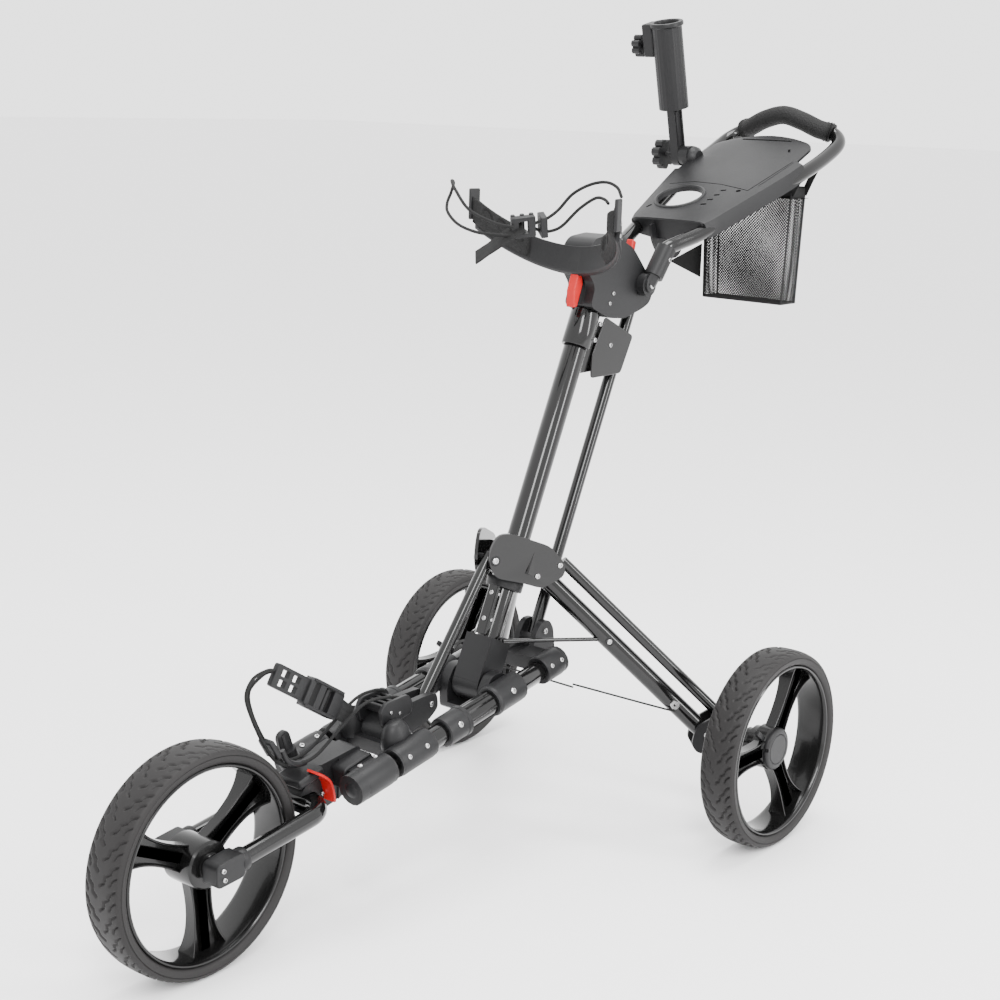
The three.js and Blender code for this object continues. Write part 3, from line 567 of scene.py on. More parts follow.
# ---------------------------------------------------------------- elastic cords
UPPER_LEFT_CORD = [
    (124, -178, 930), (112, -172, 942), (92, -170, 948), (70, -176, 944), (46, -184, 930), (30, -194, 908),
    (20, -206, 896), (10, -216, 890), (2, -214, 884), (6, -202, 878), (18, -196, 878), (34, -190, 886),
    (56, -182, 910), (80, -178, 926), (98, -182, 926), (110, -188, 921),
]
UPPER_RIGHT_CORD = [
    (-6, -246, 884), (-24, -262, 888), (-60, -276, 904), (-96, -266, 930), (-120, -246, 940),
    (-134, -226, 936), (-142, -222, 922), (-140, -232, 908), (-126, -246, 896), (-96, -258, 882),
    (-60, -262, 874), (-28, -256, 872), (-8, -244, 872),
]
LOWER_CORD = [
    (14, -480, 270), (12, -505, 276), (9, -545, 276), (8, -590, 252), (8, -632, 228), (8, -668, 226),
    (8, -700, 238), (8, -724, 270), (8, -744, 310), (8, -752, 338), (6, -738, 356), (4, -714, 360),
    (0, -700, 356), (-4, -714, 352), (-6, -734, 336), (-6, -730, 308), (-5, -712, 270), (-4, -690, 240),
    (-4, -662, 228), (-4, -630, 234), (-4, -590, 258), (-6, -545, 280), (-12, -505, 280), (-14, -480, 274),
]


def bungee(name, places, body, node_name):
    """A braided elastic cord, held at both of its ends."""
    path = spline([at(*place) for place in places], 10)
    piece = sweep(name, path, circle(BUNGEE_RADIUS, 12))
    dress(piece, body, "elastic_cord", node_name)
    return piece


bungee("upper_cord_left", UPPER_LEFT_CORD, "head", "upper_bungee_left")
bungee("upper_cord_right", UPPER_RIGHT_CORD, "head", "upper_bungee_right")
bungee("lower_cord", LOWER_CORD, "frame", "lower_bungee")


# ---------------------------------------------------------------- wheels
TREAD_COUNT = 30                       # repeats of the tread pattern round the tyre
TREAD_DEPTH = 2.6


def tread_lines(half):
    """Groove lines of one repeat, as [along, across] points in millimetres, for one shoulder."""
    pitch = 2 * math.pi * WHEEL_RADIUS / TREAD_COUNT
    main = [(0.05, 1.0), (0.2, 0.74), (0.42, 0.66), (0.56, 0.4), (0.82, 0.36), (0.96, 0.12)]
    short = [(0.52, 1.0), (0.66, 0.8), (0.84, 0.72)]
    return [[(a * pitch, b * half) for a, b in line] for line in (main, short)]


def distance_to(line, a, b):
    best = 1e9
    for (a0, b0), (a1, b1) in zip(line, line[1:]):
        da, db = a1 - a0, b1 - b0
        share = max(0, min(1, ((a - a0) * da + (b - b0) * db) / (da * da + db * db)))
        best = min(best, math.hypot(a - a0 - share * da, b - b0 - share * db))
    return best


def tread_depth(around, across, half):
    """How deep the tread is cut at a place on the crown."""
    pitch = 2 * math.pi * WHEEL_RADIUS / TREAD_COUNT
    shift = 0 if across > 0 else pitch / 2
    a = (around + shift) % pitch
    depth = 0
    for index, line in enumerate(tread_lines(half)):
        near = min(distance_to(line, a + turn, abs(across)) for turn in (-pitch, 0, pitch))
        width = (1.7, 1.2)[index]
        depth = max(depth, max(0, 1 - max(0, near - width * 0.35) / width))
    return depth * TREAD_DEPTH


def tyre(name, centre, width, body, node_name):
    """A foam tyre with its cut tread, a shoulder and a stepped side wall."""
    half = width / 2
    crown = half - 5
    side = [(126.4, half - 4.5), (129, half - 1.6), (133, half - 0.4), (136.2, half), (136.9, half - 0.8),
            (137.6, half - 0.1), (140.5, half - 1.2), (142.6, half - 3.2)]
    across_steps = 34
    profile = [(r, x, False) for r, x in side]
    for i in range(across_steps + 1):
        x = crown * (1 - 2 * i / across_steps)
        profile.append((WHEEL_RADIUS - 2.6 * (abs(x) / crown) ** 3, x, True))
    profile += [(r, -x, False) for r, x in reversed(side)]
    steps = 660
    points = []
    for i in range(steps):
        angle = 2 * math.pi * i / steps
        turn = Vector((0, math.sin(angle), -math.cos(angle)))
        around = angle * WHEEL_RADIUS
        for r, x, cut in profile:
            radius = r - (tread_depth(around, x, crown) if cut else 0)
            points.append(centre + (turn * radius + ACROSS * x) * MM)
    rows = len(profile)
    faces = []
    for i in range(steps):
        k = (i + 1) % steps
        for j in range(rows):
            m = (j + 1) % rows
            faces.append((i * rows + j, i * rows + m, k * rows + m, k * rows + j))
    piece = make(name, points, faces, 50)
    fix_normals(piece)
    return dress(piece, body, "tyre_rubber", node_name)


def spoke_ring(centre, turn, t):
    """The H-shaped section of a spoke, with t running from 0 at the hub to 1 at the rim."""
    r = (1 - t) ** 2 * 22 + 2 * t * (1 - t) * 84 + t * t * 120.5
    half = (1 - t) ** 2 * 18 + 2 * t * (1 - t) * 8 + t * t * 29
    deep = 8 + 8 * t ** 4
    rib = 2.2
    web = 3.2
    outline = [
        (-half, -deep), (-half + rib, -deep), (-half + rib + 1, -web), (half - rib - 1, -web),
        (half - rib, -deep), (half, -deep), (half, deep), (half - rib, deep), (half - rib - 1, web),
        (-half + rib + 1, web), (-half + rib, deep), (-half, deep),
    ]
    away = Vector((0, math.sin(turn), -math.cos(turn)))
    across = ACROSS.cross(away)
    return [centre + (away * r + across * a + ACROSS * b) * MM for a, b in outline]


def rim(name, centre, width, barrel, first_spoke, body, node_name):
    """The moulded rim: its ring, three flared spokes and the stepped hub barrel."""
    half = width / 2
    ring = [
        (126, half - 4), (124.5, half - 2.6), (122.6, half - 2.8), (121.2, half - 4.6), (120, half - 9),
        (119.4, 0), (120, 9 - half), (121.2, 4.6 - half), (122.6, 2.8 - half), (124.5, 2.6 - half),
        (126, 4 - half),
    ]
    dress(lathe(f"{name}_ring", ring, centre, ACROSS, 120, closed=True), body, "rim_gloss", node_name)
    dress(lathe(f"{name}_barrel", barrel, centre, ACROSS, 48), body, "rim_gloss")
    for i in range(3):
        turn = first_spoke + i * 2 * math.pi / 3
        rings = [spoke_ring(centre, turn, k / 20) for k in range(21)]
        spoke = soften(loft(f"{name}_spoke_{i}", rings), 0.5)
        dress(spoke, body, "rim_gloss")
        away = Vector((0, math.sin(turn), -math.cos(turn)))
        rib = [centre + (away * r + ACROSS * 0) * MM for r in (26, 60, 100, 119)]
        fin = sweep(f"{name}_rib_{i}", rib, strip(2.2, 15), up=ACROSS, smooth=30)
        dress(fin, body, "rim_gloss")


FRONT_BARREL = [
    (5.6, -32), (13, -32), (16, -30.5), (17, -27), (28, -25.5), (30.5, -23), (31, -19), (31, 19),
    (30.5, 23), (28, 25.5), (17, 27), (16, 30.5), (13, 32), (5.6, 32),
]
FRONT_SPOKE = math.radians(5)          # turned from straight down
REAR_SPOKE = math.radians(30)
front_centre = at(0, -WHEELBASE, WHEEL_RADIUS)
tyre("front_tread", front_centre, FRONT_WIDTH, "front_wheel", "front_tyre")
rim("front_wheel_rim", front_centre, FRONT_WIDTH, FRONT_BARREL, FRONT_SPOKE, "front_wheel", "front_rim")


def rear_wheel(side, name):
    centre = at(side * TRACK_HALF, 0, WHEEL_RADIUS)
    body = f"rear_{name}_wheel"
    barrel = [
        (6.6, -38), (19, -38), (21, -36), (21, -26), (27, -24), (28, -14), (32, -12), (32, 5), (30, 8),
        (6.6, 8),
    ]
    barrel = [(r, side * x) for r, x in barrel]
    tyre(f"rear_{name}_tread", centre, REAR_WIDTH, body, f"rear_{name}_tyre")
    rim(f"rear_{name}_wheel_rim", centre, REAR_WIDTH, barrel, REAR_SPOKE, body, f"rear_{name}_rim")
    cap = [
        (0, 15.6), (21, 15.6), (22, 14.6), (23, 15.6), (28, 15.2), (30, 14), (31, 12), (31, 8.4), (0, 8.4),
    ]
    disc = lathe(f"rear_{name}_cap", [(r, side * x) for r, x in cap], centre, ACROSS, 48)
    notches = []
    for i in range(3):
        turn = math.radians(20 + 120 * i)
        away = Vector((0, math.sin(turn), -math.cos(turn)))
        place = centre + (away * 30 + ACROSS * side * 13) * MM
        notches.append(block("notch", place, (away, ACROSS.cross(away), ACROSS), (6, 5, 8), 0.1))
    dress(carve(disc, *notches), body, "moulded_plastic", f"rear_{name}_hub_cap")
    tab = refined(f"rear_{name}_release_tab", f"rear_{name}_release_tab", "moulded_plastic", 1.6, 3)
    tab.name = f"rear_{name}_release_button"


rear_wheel(1, "left")
rear_wheel(-1, "right")

# ---------------------------------------------------------------- front fork
fork_slope = (172 - 146) / 180


def fork_point(x, y):
    return at(x, y, 172 + (y + 648) * fork_slope)


fork_line = [fork_point(46, -806), fork_point(46, -740), fork_point(46, -690)]
for i in range(9):
    angle = i / 8 * math.pi / 2
    fork_line.append(fork_point(16 + 30 * math.cos(angle), -678 + 30 * math.sin(angle)))
fork_line += [Vector((2 * at(0, 0, 0).x - p.x, p.y, p.z)) for p in reversed(fork_line)]
dress(sweep("fork_bent_tube", fork_line, circle(12, 28)), "fork", "painted_tube", "fork_tube")
for side, name in ((1, "left"), (-1, "right")):
    refined(f"fork_end_{name}", "fork", "moulded_plastic", 2.6, 3)
    outwards = ACROSS * side
    screw("fork", at(side * 60, -836, 152), outwards, 3.4)
    screw("fork", at(side * 60, -834, 140), outwards, 3.4)
    cuff = [(12.3, 0), (14.6, 0.4), (15.4, 2), (15.4, 10), (14.6, 12), (12.3, 12.4)]
    along = (fork_point(0, -700) - fork_point(0, -800)).normalized()
    dress(
        lathe(f"fork_cuff_{name}", cuff, fork_point(side * 46, -803), along, 28, closed=True),
        "fork",
        "moulded_plastic",
    )
    washer = [(5.4, 0), (10, 0), (10.6, 0.8), (10.6, 2.4), (5.4, 2.4)]
    place = at(side * 33, -WHEELBASE, WHEEL_RADIUS)
    dress(
        lathe(f"fork_washer_{name}", washer, place, -outwards, 24, closed=True), "fork", "moulded_plastic",
    )

# ---------------------------------------------------------------- lower frame
def side_dome(name, side):
    """A smooth dome that rises from a middle collar towards the strap's root."""
    lift = ACROSS.cross(RAIL_ALONG)
    foot = on_rail(side * 38, 102, 8)
    rings = []
    for k in range(14):
        angle = k / 13 * math.radians(88)
        shrink = math.cos(angle) ** 0.7
        ring = []
        for i in range(36):
            turn = i * math.pi / 18
            across = ACROSS * 18 * math.cos(turn) + RAIL_ALONG * 24 * math.sin(turn)
            ring.append(foot + (across * shrink + lift * 34 * math.sin(angle)) * MM)
        rings.append(ring)
    return loft(name, rings, 50)


for side, name in ((1, "left"), (-1, "right")):
    x = side * RAIL_X
    outline = [(0, 4), (11, 4), (11, 97), (13.5, 97), (14.5, 98), (14.5, 411), (13.5, 413), (0, 413)]
    dress(
        lathe(f"rail_{name}_tube", outline, on_rail(x, 0), RAIL_ALONG, 32),
        "frame",
        "painted_tube",
        f"rail_{name}",
    )
    ring = [
        (14.7, 165), (18.5, 165), (20.4, 166.5), (20.8, 169), (20.8, 201), (21.6, 202), (21.6, 208),
        (14.7, 209),
    ]
    dress(
        lathe(f"rail_ring_{name}", ring, on_rail(x, 0), RAIL_ALONG, 32, closed=True),
        "frame",
        "moulded_plastic",
    )
    flutes = []
    for i in range(64):
        radius = 16.6 if i % 8 else 17.8
        flutes.append((radius * math.cos(i * math.pi / 32), radius * math.sin(i * math.pi / 32)))
    fluted = sweep(
        f"rail_sleeve_{name}", [on_rail(x, 208), on_rail(x, 236), on_rail(x, 268)], flutes, smooth=20,
    )
    dress(fluted, "frame", "painted_tube")
    nose = [
        (0, -12), (6, -11.6), (12, -9.5), (17, -5), (20.2, 1), (21.2, 8), (21.4, 50), (20.6, 56),
        (17, 58.6), (11.2, 59),
    ]
    dress(lathe(f"rail_nose_{name}", nose, on_rail(x, 0), RAIL_ALONG, 40), "frame", "moulded_plastic")
    tail = [(14.7, 376), (19, 376), (20.6, 378), (20.8, 386), (20.8, 412), (19, 418), (14, 421.5), (0, 422)]
    dress(lathe(f"rail_tail_{name}", tail, on_rail(x, 0), RAIL_ALONG, 40), "frame", "moulded_plastic")
    middle = [(11.3, 69), (17, 69), (20, 72), (20.6, 76), (20.6, 132), (19.6, 137), (14.7, 138)]
    dress(
        lathe(f"rail_collar_{name}", middle, on_rail(x, 0), RAIL_ALONG, 40, closed=True),
        "frame",
        "moulded_plastic",
    )
    base = [
        (14.7, 266), (18, 266), (21, 268), (22, 271), (22, 274), (21.3, 276), (21.3, 320), (20.4, 325),
        (14.7, 326),
    ]
    dress(
        lathe(f"base_collar_{name}", base, on_rail(x, 0), RAIL_ALONG, 40, closed=True),
        "frame",
        "moulded_plastic",
    )
    dress(side_dome(f"collar_dome_{name}", side), "frame", "moulded_plastic")
    outer = Vector((side, 0, 0))
    raised = (outer * 0.9 + Vector((0, -0.1, 0.42))).normalized()
    for along, radius in ((84, 20.4), (118, 20.4), (186, 20.6), (386, 20.6), (408, 20.6), (298, 21.2)):
        big = 4.4 if along in (186, 298) else 3.4
        screw("frame", on_rail(x, along) + raised * radius * MM, raised, big, 2.2)
    for along in (18, 46):
        up_side = (Vector((0, -math.sin(RAIL_SLOPE), math.cos(RAIL_SLOPE))) - outer * 0.35).normalized()
        screw("frame", on_rail(x, along) + up_side * 21.2 * MM, up_side, 3.8, 2.2)

refined("front_bracket", "frame", "moulded_plastic", 2.4, 3)
refined("middle_bracket", "frame", "moulded_plastic", 2.2, 3)
refined("base_bracket", "frame", "moulded_plastic", 2.4, 3)
refined("rear_bracket", "frame", "moulded_plastic", 2.2, 3)
latch_line = spline(
    [at(24, -653, 216), at(24, -642, 209), at(24, -631, 199), at(24, -625, 184), at(24, -622, 169)], 6,
)
latch_strip = sweep("latch_strip", latch_line, strip(20, 3.2), up=(0, 0.7, 0.7))
dress(latch_strip, "fork_latch", "red_plastic", "fork_latch")
for side in (1, -1):
    outer = ACROSS * side
    screw("frame", at(side * 19, -175, 298), outer, 4.6, 2.4)
    screw("frame", at(side * 42, -309, 245), outer, 5.0, 2.6, washer=True)
    screw("frame", at(side * 19, -423, 248), outer, 4.2, 2.2)
    screw("frame", at(side * 17, -628, 178), outer, 3.0, 1.6)

# The front bracket's flange plates beside the nose.
for side in (1, -1):
    flange = plate(
        f"nose_flange_{'left' if side > 0 else 'right'}",
        rounded([(2, -14), (2, 18), (54, 20), (58, -12)], 7),
        lambda a, b, c, s=side: on_rail(s * c, a, b), (14, 40), 2.0,
    )
    dress(flange, "frame", "moulded_plastic")

# The tracking knob: a round foot under a raised paddle wing.
refined("tracking_knob", "tracking_knob", "moulded_plastic", 1.6, 3)
knob_axis = Vector((0, -0.35, 0.94)).normalized()
knob_foot = at(-32, -640, 212)
wing = rounded([(-11, 18), (-9, 42), (-4, 47), (6, 47), (11, 40), (11, 20), (5, 14), (-6, 14)], 4)
wing_across = knob_axis.cross(ACROSS)
dress(
    plate(
        "tracking_wing",
        wing,
        lambda a,
        b,
        c: knob_foot + (wing_across * a + knob_axis * b + ACROSS * c) * MM,
        (-4, 4),
        1.6,
    ),
    "tracking_knob",
    "moulded_plastic",
)
dress(
    lathe(
        "knob_skirt",
        [(13.2, 0), (15.5, 0.6), (16, 3), (15.6, 6), (13.2, 7)],
        knob_foot,
        knob_axis,
        12,
        closed=True,
    ),
    "tracking_knob",
    "moulded_plastic",
)

# ---------------------------------------------------------------- lower bag strap
STRAP_ROOT = at(0, -586, 281)
strap_along = Vector((0, -0.85, 0.53)).normalized()
strap_up = Vector((0, 0.53, 0.85)).normalized()


def on_strap(x, along, height=0):
    """A point on the lower strap, whose plates stand upright along the trolley's middle."""
    return STRAP_ROOT + (ACROSS * x + strap_along * along + strap_up * height) * MM


def strap_hole(along, height, long_side, tall):
    """A cutter for a window through a strap plate."""
    return block(
        "window", on_strap(0, along, height), (ACROSS, strap_along, strap_up), (40, long_side, tall), 0.1,
    )


ladder_outline = rounded([(66, -15.5), (66, 15.5), (134, 15.5), (134, -15.5)], 4)
ladder = plate("ladder_strap", ladder_outline, lambda a, b, c: on_strap(c, a, b), (-4, 4), 0.8)
windows = [strap_hole(along, height, 14, 9) for along in (94, 116) for height in (-6.5, 6.5)]
dress(carve(baked(ladder), *windows), "frame", "moulded_plastic")
buckle_outline = rounded(
    [(0, -16), (6, -20), (64, -20), (70, -15), (70, 15), (64, 20), (6, 20), (0, 16)], 4,
)
buckle = plate("strap_buckle", buckle_outline, lambda a, b, c: on_strap(c, a, b), (-7, 7), 1.6)
gaps = [strap_hole(56, 0, 11, 30), strap_hole(30, 0, 18, 30)]
dress(carve(baked(buckle), *gaps), "frame", "moulded_plastic")
for along, radius in ((44, 5), (28, 3.2)):
    dress(rod(f"buckle_bar_low_{along}", on_strap(0, along, -17), on_strap(0, along, 17), radius), "frame",
          "moulded_plastic")
for side in (1, -1):
    for height in (-17.5, 17.5):
        edge = block(f"buckle_edge_{side}_{height > 0}", on_strap(side * 7, 35, height),
                     (ACROSS, strap_along, strap_up), (3, 62, 4), 0.8)
        dress(edge, "frame", "moulded_plastic")
web_line = spline([on_strap(0, 24, 0), on_strap(0, 6, 0), at(0, -574, 270), at(0, -560, 262)], 8)
dress(sweep("strap_webbing", web_line, strip(26, 2.2), up=ACROSS), "frame", "elastic_cord")

# The ratchet block that the strap and cords are anchored in, on the middle bracket.
for row in range(4):
    bar_centre = on_rail(0, 108 + row * 11, 50 - row * 1.5)
    dress(block(f"ratchet_bar_{row}", bar_centre, (ACROSS, RAIL_ALONG, TRAY_UP), (44, 5, 14), 1.0), "frame",
          "moulded_plastic")
for side in (1, -1):
    cheek_outline = rounded([(96, 28), (94, 54), (104, 62), (150, 56), (156, 40), (150, 28)], 6)
    cheek = plate(
        f"ratchet_cheek_{side}", cheek_outline, lambda a, b, c, s=side: on_rail(s * c, a, b), (18, 24), 1.0,
    )
    dress(cheek, "frame", "moulded_plastic")
    screw("frame", on_rail(side * 24, 112, 46), ACROSS * side, 2.4, 1.4)
    screw("frame", on_rail(side * 24, 128, 38), ACROSS * side, 2.4, 1.4)

# The hook in front, where the cord turns back up.
for side in (1, -1):
    hook = [
        at(side * 4, -648, 222), at(side * 8, -668, 226), at(side * 9, -684, 236), at(side * 6, -690, 250),
    ]
    dress(tube(f"cord_hook_{side}", hook, 4.2, 12), "frame", "moulded_plastic")
crimp = at(2, -706, 256)
crimp_along = (at(0, -722, 292) - at(0, -690, 240)).normalized()
dress(
    block("cord_crimp", crimp, (ACROSS, crimp_along, ACROSS.cross(crimp_along)), (24, 30, 8), 2.0),
    "frame",
    "moulded_plastic",
)
dress(
    block(
        "nose_shelf",
        at(0, -652, 206),
        (ACROSS, Vector((0, 1, 0.25)), Vector((0, -0.25, 1))),
        (44, 44, 12),
        3.0,
    ),
    "frame",
    "moulded_plastic",
)

# ---------------------------------------------------------------- mast
dress(
    lathe(
        "mast_main_tube",
        [(0, 12), (17, 12), (17, 526), (16.4, 527), (0, 527)],
        on_mast(0, 0, 0),
        MAST_UP,
        48,
    ),
    "mast",
    "painted_tube",
    "mast_tube",
)
refined("mast_foot", "mast", "moulded_plastic", 4.0, 4)
channel_outline = [(-10, -21), (-10, -15), (10, -15), (10, -21), (7.5, -23), (-7.5, -23)]
channel = loft("mast_channel", [[on_mast(a, b, h) for a, b in channel_outline] for h in (70, 148)])
dress(soften(channel, 0.8), "mast", "painted_tube")
for height in (92, 130):
    screw("mast", on_mast(0, -23, height), Vector((0, -math.cos(MAST_LEAN), math.sin(MAST_LEAN))), 3.4, 2)
    screw("mast", on_mast(9.8, -18, height), ACROSS, 3.0, 1.8)
ring = [(17.6, 141), (25.6, 141), (26.6, 143), (26.6, 154), (25.6, 156), (17.6, 156)]
dress(lathe("hub_ring", ring, on_mast(0, 0, 0), MAST_UP, 40, closed=True), "hub", "moulded_plastic")

# ---------------------------------------------------------------- hub
refined("hub_bracket", "hub", "painted_tube", 1.6, 3)
CHEEK_TURN = math.atan2(44, 93)
for side in (1, -1):
    face = Vector((side * math.cos(CHEEK_TURN), -math.sin(CHEEK_TURN), 0))
    for x, y, z, radius in ((18, -293, 425, 5.0), (46, -233, 397, 4.2), (61, -201, 410, 4.2)):
        base = at(side * 19.6, -290, 0)
        here = at(side * x, y, z)
        off = (base - here).dot(face)
        screw("hub", here + face * off, face, radius, 2.2, washer=radius > 4.5)

# ---------------------------------------------------------------- struts
dress(
    rod("front_strut_tube", at(0, -426, 242), at(0, -283, 431), 8.2, 28),
    "front_strut",
    "painted_tube",
    "front_strut",
)
strut_top = at(0, -175, 298) + MAST_UP * 530 * MM
dress(
    rod("rear_strut_tube", at(0, -175, 298) - MAST_UP * 8 * MM, strut_top, 9, 28),
    "rear_strut",
    "painted_tube",
    "rear_strut",
)
for body, place in (("front_strut", at(0, -287, 425)), ("front_strut", at(0, -423, 248))):
    dress(
        rod(f"strut_pin_{place.z:.3f}", place - ACROSS * 0.016, place + ACROSS * 0.016, 5, 20),
        body,
        "moulded_plastic",
    )


# ---------------------------------------------------------------- rear legs
def leg(side, name):
    top, foot = at(side * 26, -196, 388), at(side * 204, -22, 150)
    along = (foot - top).normalized()
    level = Vector((along.x, along.y, 0)).normalized()
    outer = Vector((abs(level.y) * side, -abs(level.x), 0))
    body = f"leg_{name}"
    dress(
        rod(f"leg_{name}_lower", top - along * 0.01, foot + along * 0.012, 13.5, 32),
        body,
        "painted_tube",
        f"leg_{name}_tube",
    )
    shift = level * 32.5 * MM + Vector((0, 0, 0.017))
    dress(rod(f"leg_{name}_upper", top + shift - along * 0.006, foot + shift + along * 0.006, 8, 28),
          f"leg_link_{name}", "painted_tube", f"leg_{name}_link")
    for share, size in ((0.402, 4.2), (0.805, 4.2)):
        place = top.lerp(foot, share) + outer * 13.2 * MM
        screw(body, place, outer, size, 2.6, washer=True)
    refined(f"wheel_bracket_{name}", f"wheel_bracket_{name}", "moulded_plastic", 3.0, 3)
    screw(f"wheel_bracket_{name}", foot + outer * 20 * MM + Vector((0, 0, 0.002)), outer, 4.4, 2.4)
    screw(f"wheel_bracket_{name}", foot + shift + outer * 20 * MM, outer, 3.6, 2.2)
    start, end = at(side * 28, -284, 309), top.lerp(foot, 0.402)
    dress(rod(f"tie_{name}", start, end, 3, 14), f"tie_rod_{name}", "painted_tube", f"tie_rod_{name}")
    eye = [(3.2, -1.6), (6.4, -1.6), (7, 0), (6.4, 1.6), (3.2, 1.6)]
    eye_place = top.lerp(foot, 0.805) + outer * 15.2 * MM
    dress(lathe(f"stay_eye_{name}", eye, eye_place, outer, 22, closed=True), f"stay_wire_{name}", "steel")
    wire_low, wire_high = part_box(f"stay_wire_{name}")
    wire_z = (wire_low.z + wire_high.z) / 2
    outer_end = Vector((wire_high.x if side > 0 else wire_low.x, wire_high.y - 0.0016, wire_z))
    inner_end = Vector((0, wire_low.y + 0.0016, wire_z))
    wire = [eye_place - outer * 0.001, outer_end.lerp(eye_place, 0.3), outer_end, inner_end]
    dress(tube(f"stay_cable_{name}", wire, 1.5, 10), f"stay_wire_{name}", "stay_cable", f"stay_wire_{name}")


leg(1, "left")
leg(-1, "right")

# ---------------------------------------------------------------- head
dress(
    lathe("mast_upper", [(0, 546), (17, 546), (17, 649), (0, 650)], on_mast(0, 0, 0), MAST_UP, 48),
    "head",
    "painted_tube",
    "mast_upper_tube",
)
# The sleeve is open at its back, where the mast swings out of it as the trolley folds.
sleeve = [(18.2, 506), (20.6, 506), (21.5, 507.5), (21.5, 558.5), (20.6, 560), (18.2, 560)]
sleeve_ring = lathe("mast_round_sleeve", sleeve, on_mast(0, 0, 0), MAST_UP, 48, closed=True)
mast_back = MAST_UP.cross(ACROSS)
sleeve_mouth = block("mouth", on_mast(0, 45, 533), (ACROSS, mast_back, MAST_UP), (36.4, 100, 80), 0.1)
dress(carve(sleeve_ring, sleeve_mouth), "head", "painted_tube", "mast_sleeve")
refined("head", "head", "moulded_plastic", 3.4, 3)
refined("front_lever", "front_lever", "red_plastic", 2.0, 3)
refined("rear_lever", "rear_lever", "red_plastic", 2.0, 3)
for side in (1, -1):
    outer = ACROSS * side
    for x, y, z in ((21, -74, 740), (21, -86, 718), (21, -47, 707)):
        screw("head", at(side * x, y, z), outer, 3.6, 2.4)
    for x, y, z in ((24, -49, 783), (24, -57, 769)):
        screw("head", at(side * x, y, z), outer, 3.0, 2.0)
    screw("head", at(side * 24, -57, 848), outer, 3.4, 2.0)
gusset = rounded([(30, 470), (96, 500), (100, 560), (22, 562), (17, 500)], 6)
for side in (1, -1):
    plate_piece = plate(
        f"mast_gusset_{side}", gusset, lambda a, b, c, s=side: on_mast(s * c, a, b), (18.4, 20.8), 0.6,
    )
    dress(plate_piece, "head", "painted_tube")


def cradle_at(radius, degrees, height):
    """A point round the bag: from its own tilted centre line, with the walls standing upright."""
    angle = math.radians(degrees)
    reach = radius * math.cos(angle) - CRADLE_RADIUS
    return at(
        radius * math.sin(angle),
        CRADLE_LIP_Y + reach * math.cos(CRADLE_TILT),
        CRADLE_LIP_Z - reach * math.sin(CRADLE_TILT) + height,
    )


def cradle_band():
    """The moulded shell behind the pads, with rolled edges."""
    rings = []
    for i in range(49):
        degrees = -71.5 + i * 143 / 48
        near = 1 - abs(degrees) / 71.5
        low = -3 * near
        high = CRADLE_HEIGHT
        thick = 5 + 3 * near
        ring = [(128, low + 3), (128.6, low), (127 + thick, low - 1), (128.6 + thick, low + 4),
                (127.6 + thick, high - 5), (129.4 + thick, high), (128.8, high + 1.6), (128, high - 1)]
        rings.append([cradle_at(r, degrees, h) for r, h in ring])
    return soften(loft("cradle_shell", rings, 40), 1.0)


dress(cradle_band(), "head", "moulded_plastic")


def pad(side, name):
    """A foam pad with rounded edges and three oval dimples."""
    half_long, half_tall, corner = 48, 18, 9
    columns, rows = ((112, 44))
    front = []
    back = []
    for i in range(columns + 1):
        degrees = 32 + i * 45 / columns
        across = half_long * (2 * i / columns - 1)
        front_row = []
        back_row = []
        for j in range(rows + 1):
            up = half_tall * (2 * j / rows - 1)
            beyond = math.hypot(
                max(abs(across) - half_long + corner, 0), max(abs(up) - half_tall + corner, 0),
            )
            edge = max(corner - beyond, 0)
            swell = 12 * min(1, (edge / 6) ** 0.5)
            for place in (-27, 0, 27):
                reach = math.hypot((across - place) / 11, up / 10)
                swell -= 2.4 * max(0, min(1, (1 - reach) * 5))
            height = 20 + up
            front_row.append(cradle_at(CRADLE_RADIUS - 0.4 - max(swell, 0.4), side * degrees, height))
            back_row.append(cradle_at(CRADLE_RADIUS - 0.3, side * degrees, height))
        front.append(front_row)
        back.append(back_row)
    points = []
    for grid in (front, back):
        for row in grid:
            points += row
    width = rows + 1
    total = (columns + 1) * width
    faces = []
    for i in range(columns):
        for j in range(rows):
            a = i * width + j
            faces.append((a, a + 1, a + width + 1, a + width))
            faces.append((total + a, total + a + width, total + a + width + 1, total + a + 1))
    border = [i * width for i in range(columns + 1)]
    border += [columns * width + j for j in range(1, width)]
    border += [i * width + rows for i in range(columns - 1, -1, -1)]
    border += list(range(rows - 1, 0, -1))
    for a, b in zip(border, border[1:] + border[:1]):
        faces.append((a, b, total + b, total + a))
    piece = make(f"cradle_pad_{name}_foam", points, faces, 50)
    fix_normals(piece)
    dress(piece, "head", "foam", f"cradle_pad_{name}")


pad(1, "left")
pad(-1, "right")

# End plates at the cradle's tips, the buckle and the webbing tail of the upper strap.
for side in (1, -1):
    tip = cradle_at(CRADLE_RADIUS + 4, side * 74, CRADLE_HEIGHT - 2)
    away = Vector((side * 0.96, 0.22, 0)).normalized()
    around = Vector((-away.y, away.x, 0))
    upright = Vector((0, 0, 1))
    dress(
        block(f"cradle_tip_{side}", tip, (away, around, upright), (5, 18, 44), 1.8),
        "head",
        "moulded_plastic",
    )
    for height in (10, 26):
        screw("head", cradle_at(CRADLE_RADIUS + 6, side * 70, height), away, 2.8, 1.8)
buckle_centre = at(-4, -228, 884)
buckle_along = (at(10, -216, 890) - at(-30, -262, 882)).normalized()
buckle_up = Vector((0.1, -0.3, 0.95))
buckle_side = buckle_along.cross(buckle_up).normalized()
buckle_up = buckle_side.cross(buckle_along).normalized()
frame_plate = block(
    "upper_buckle", buckle_centre, (buckle_along, buckle_side, buckle_up), (34, 12, 30), 2.0,
)
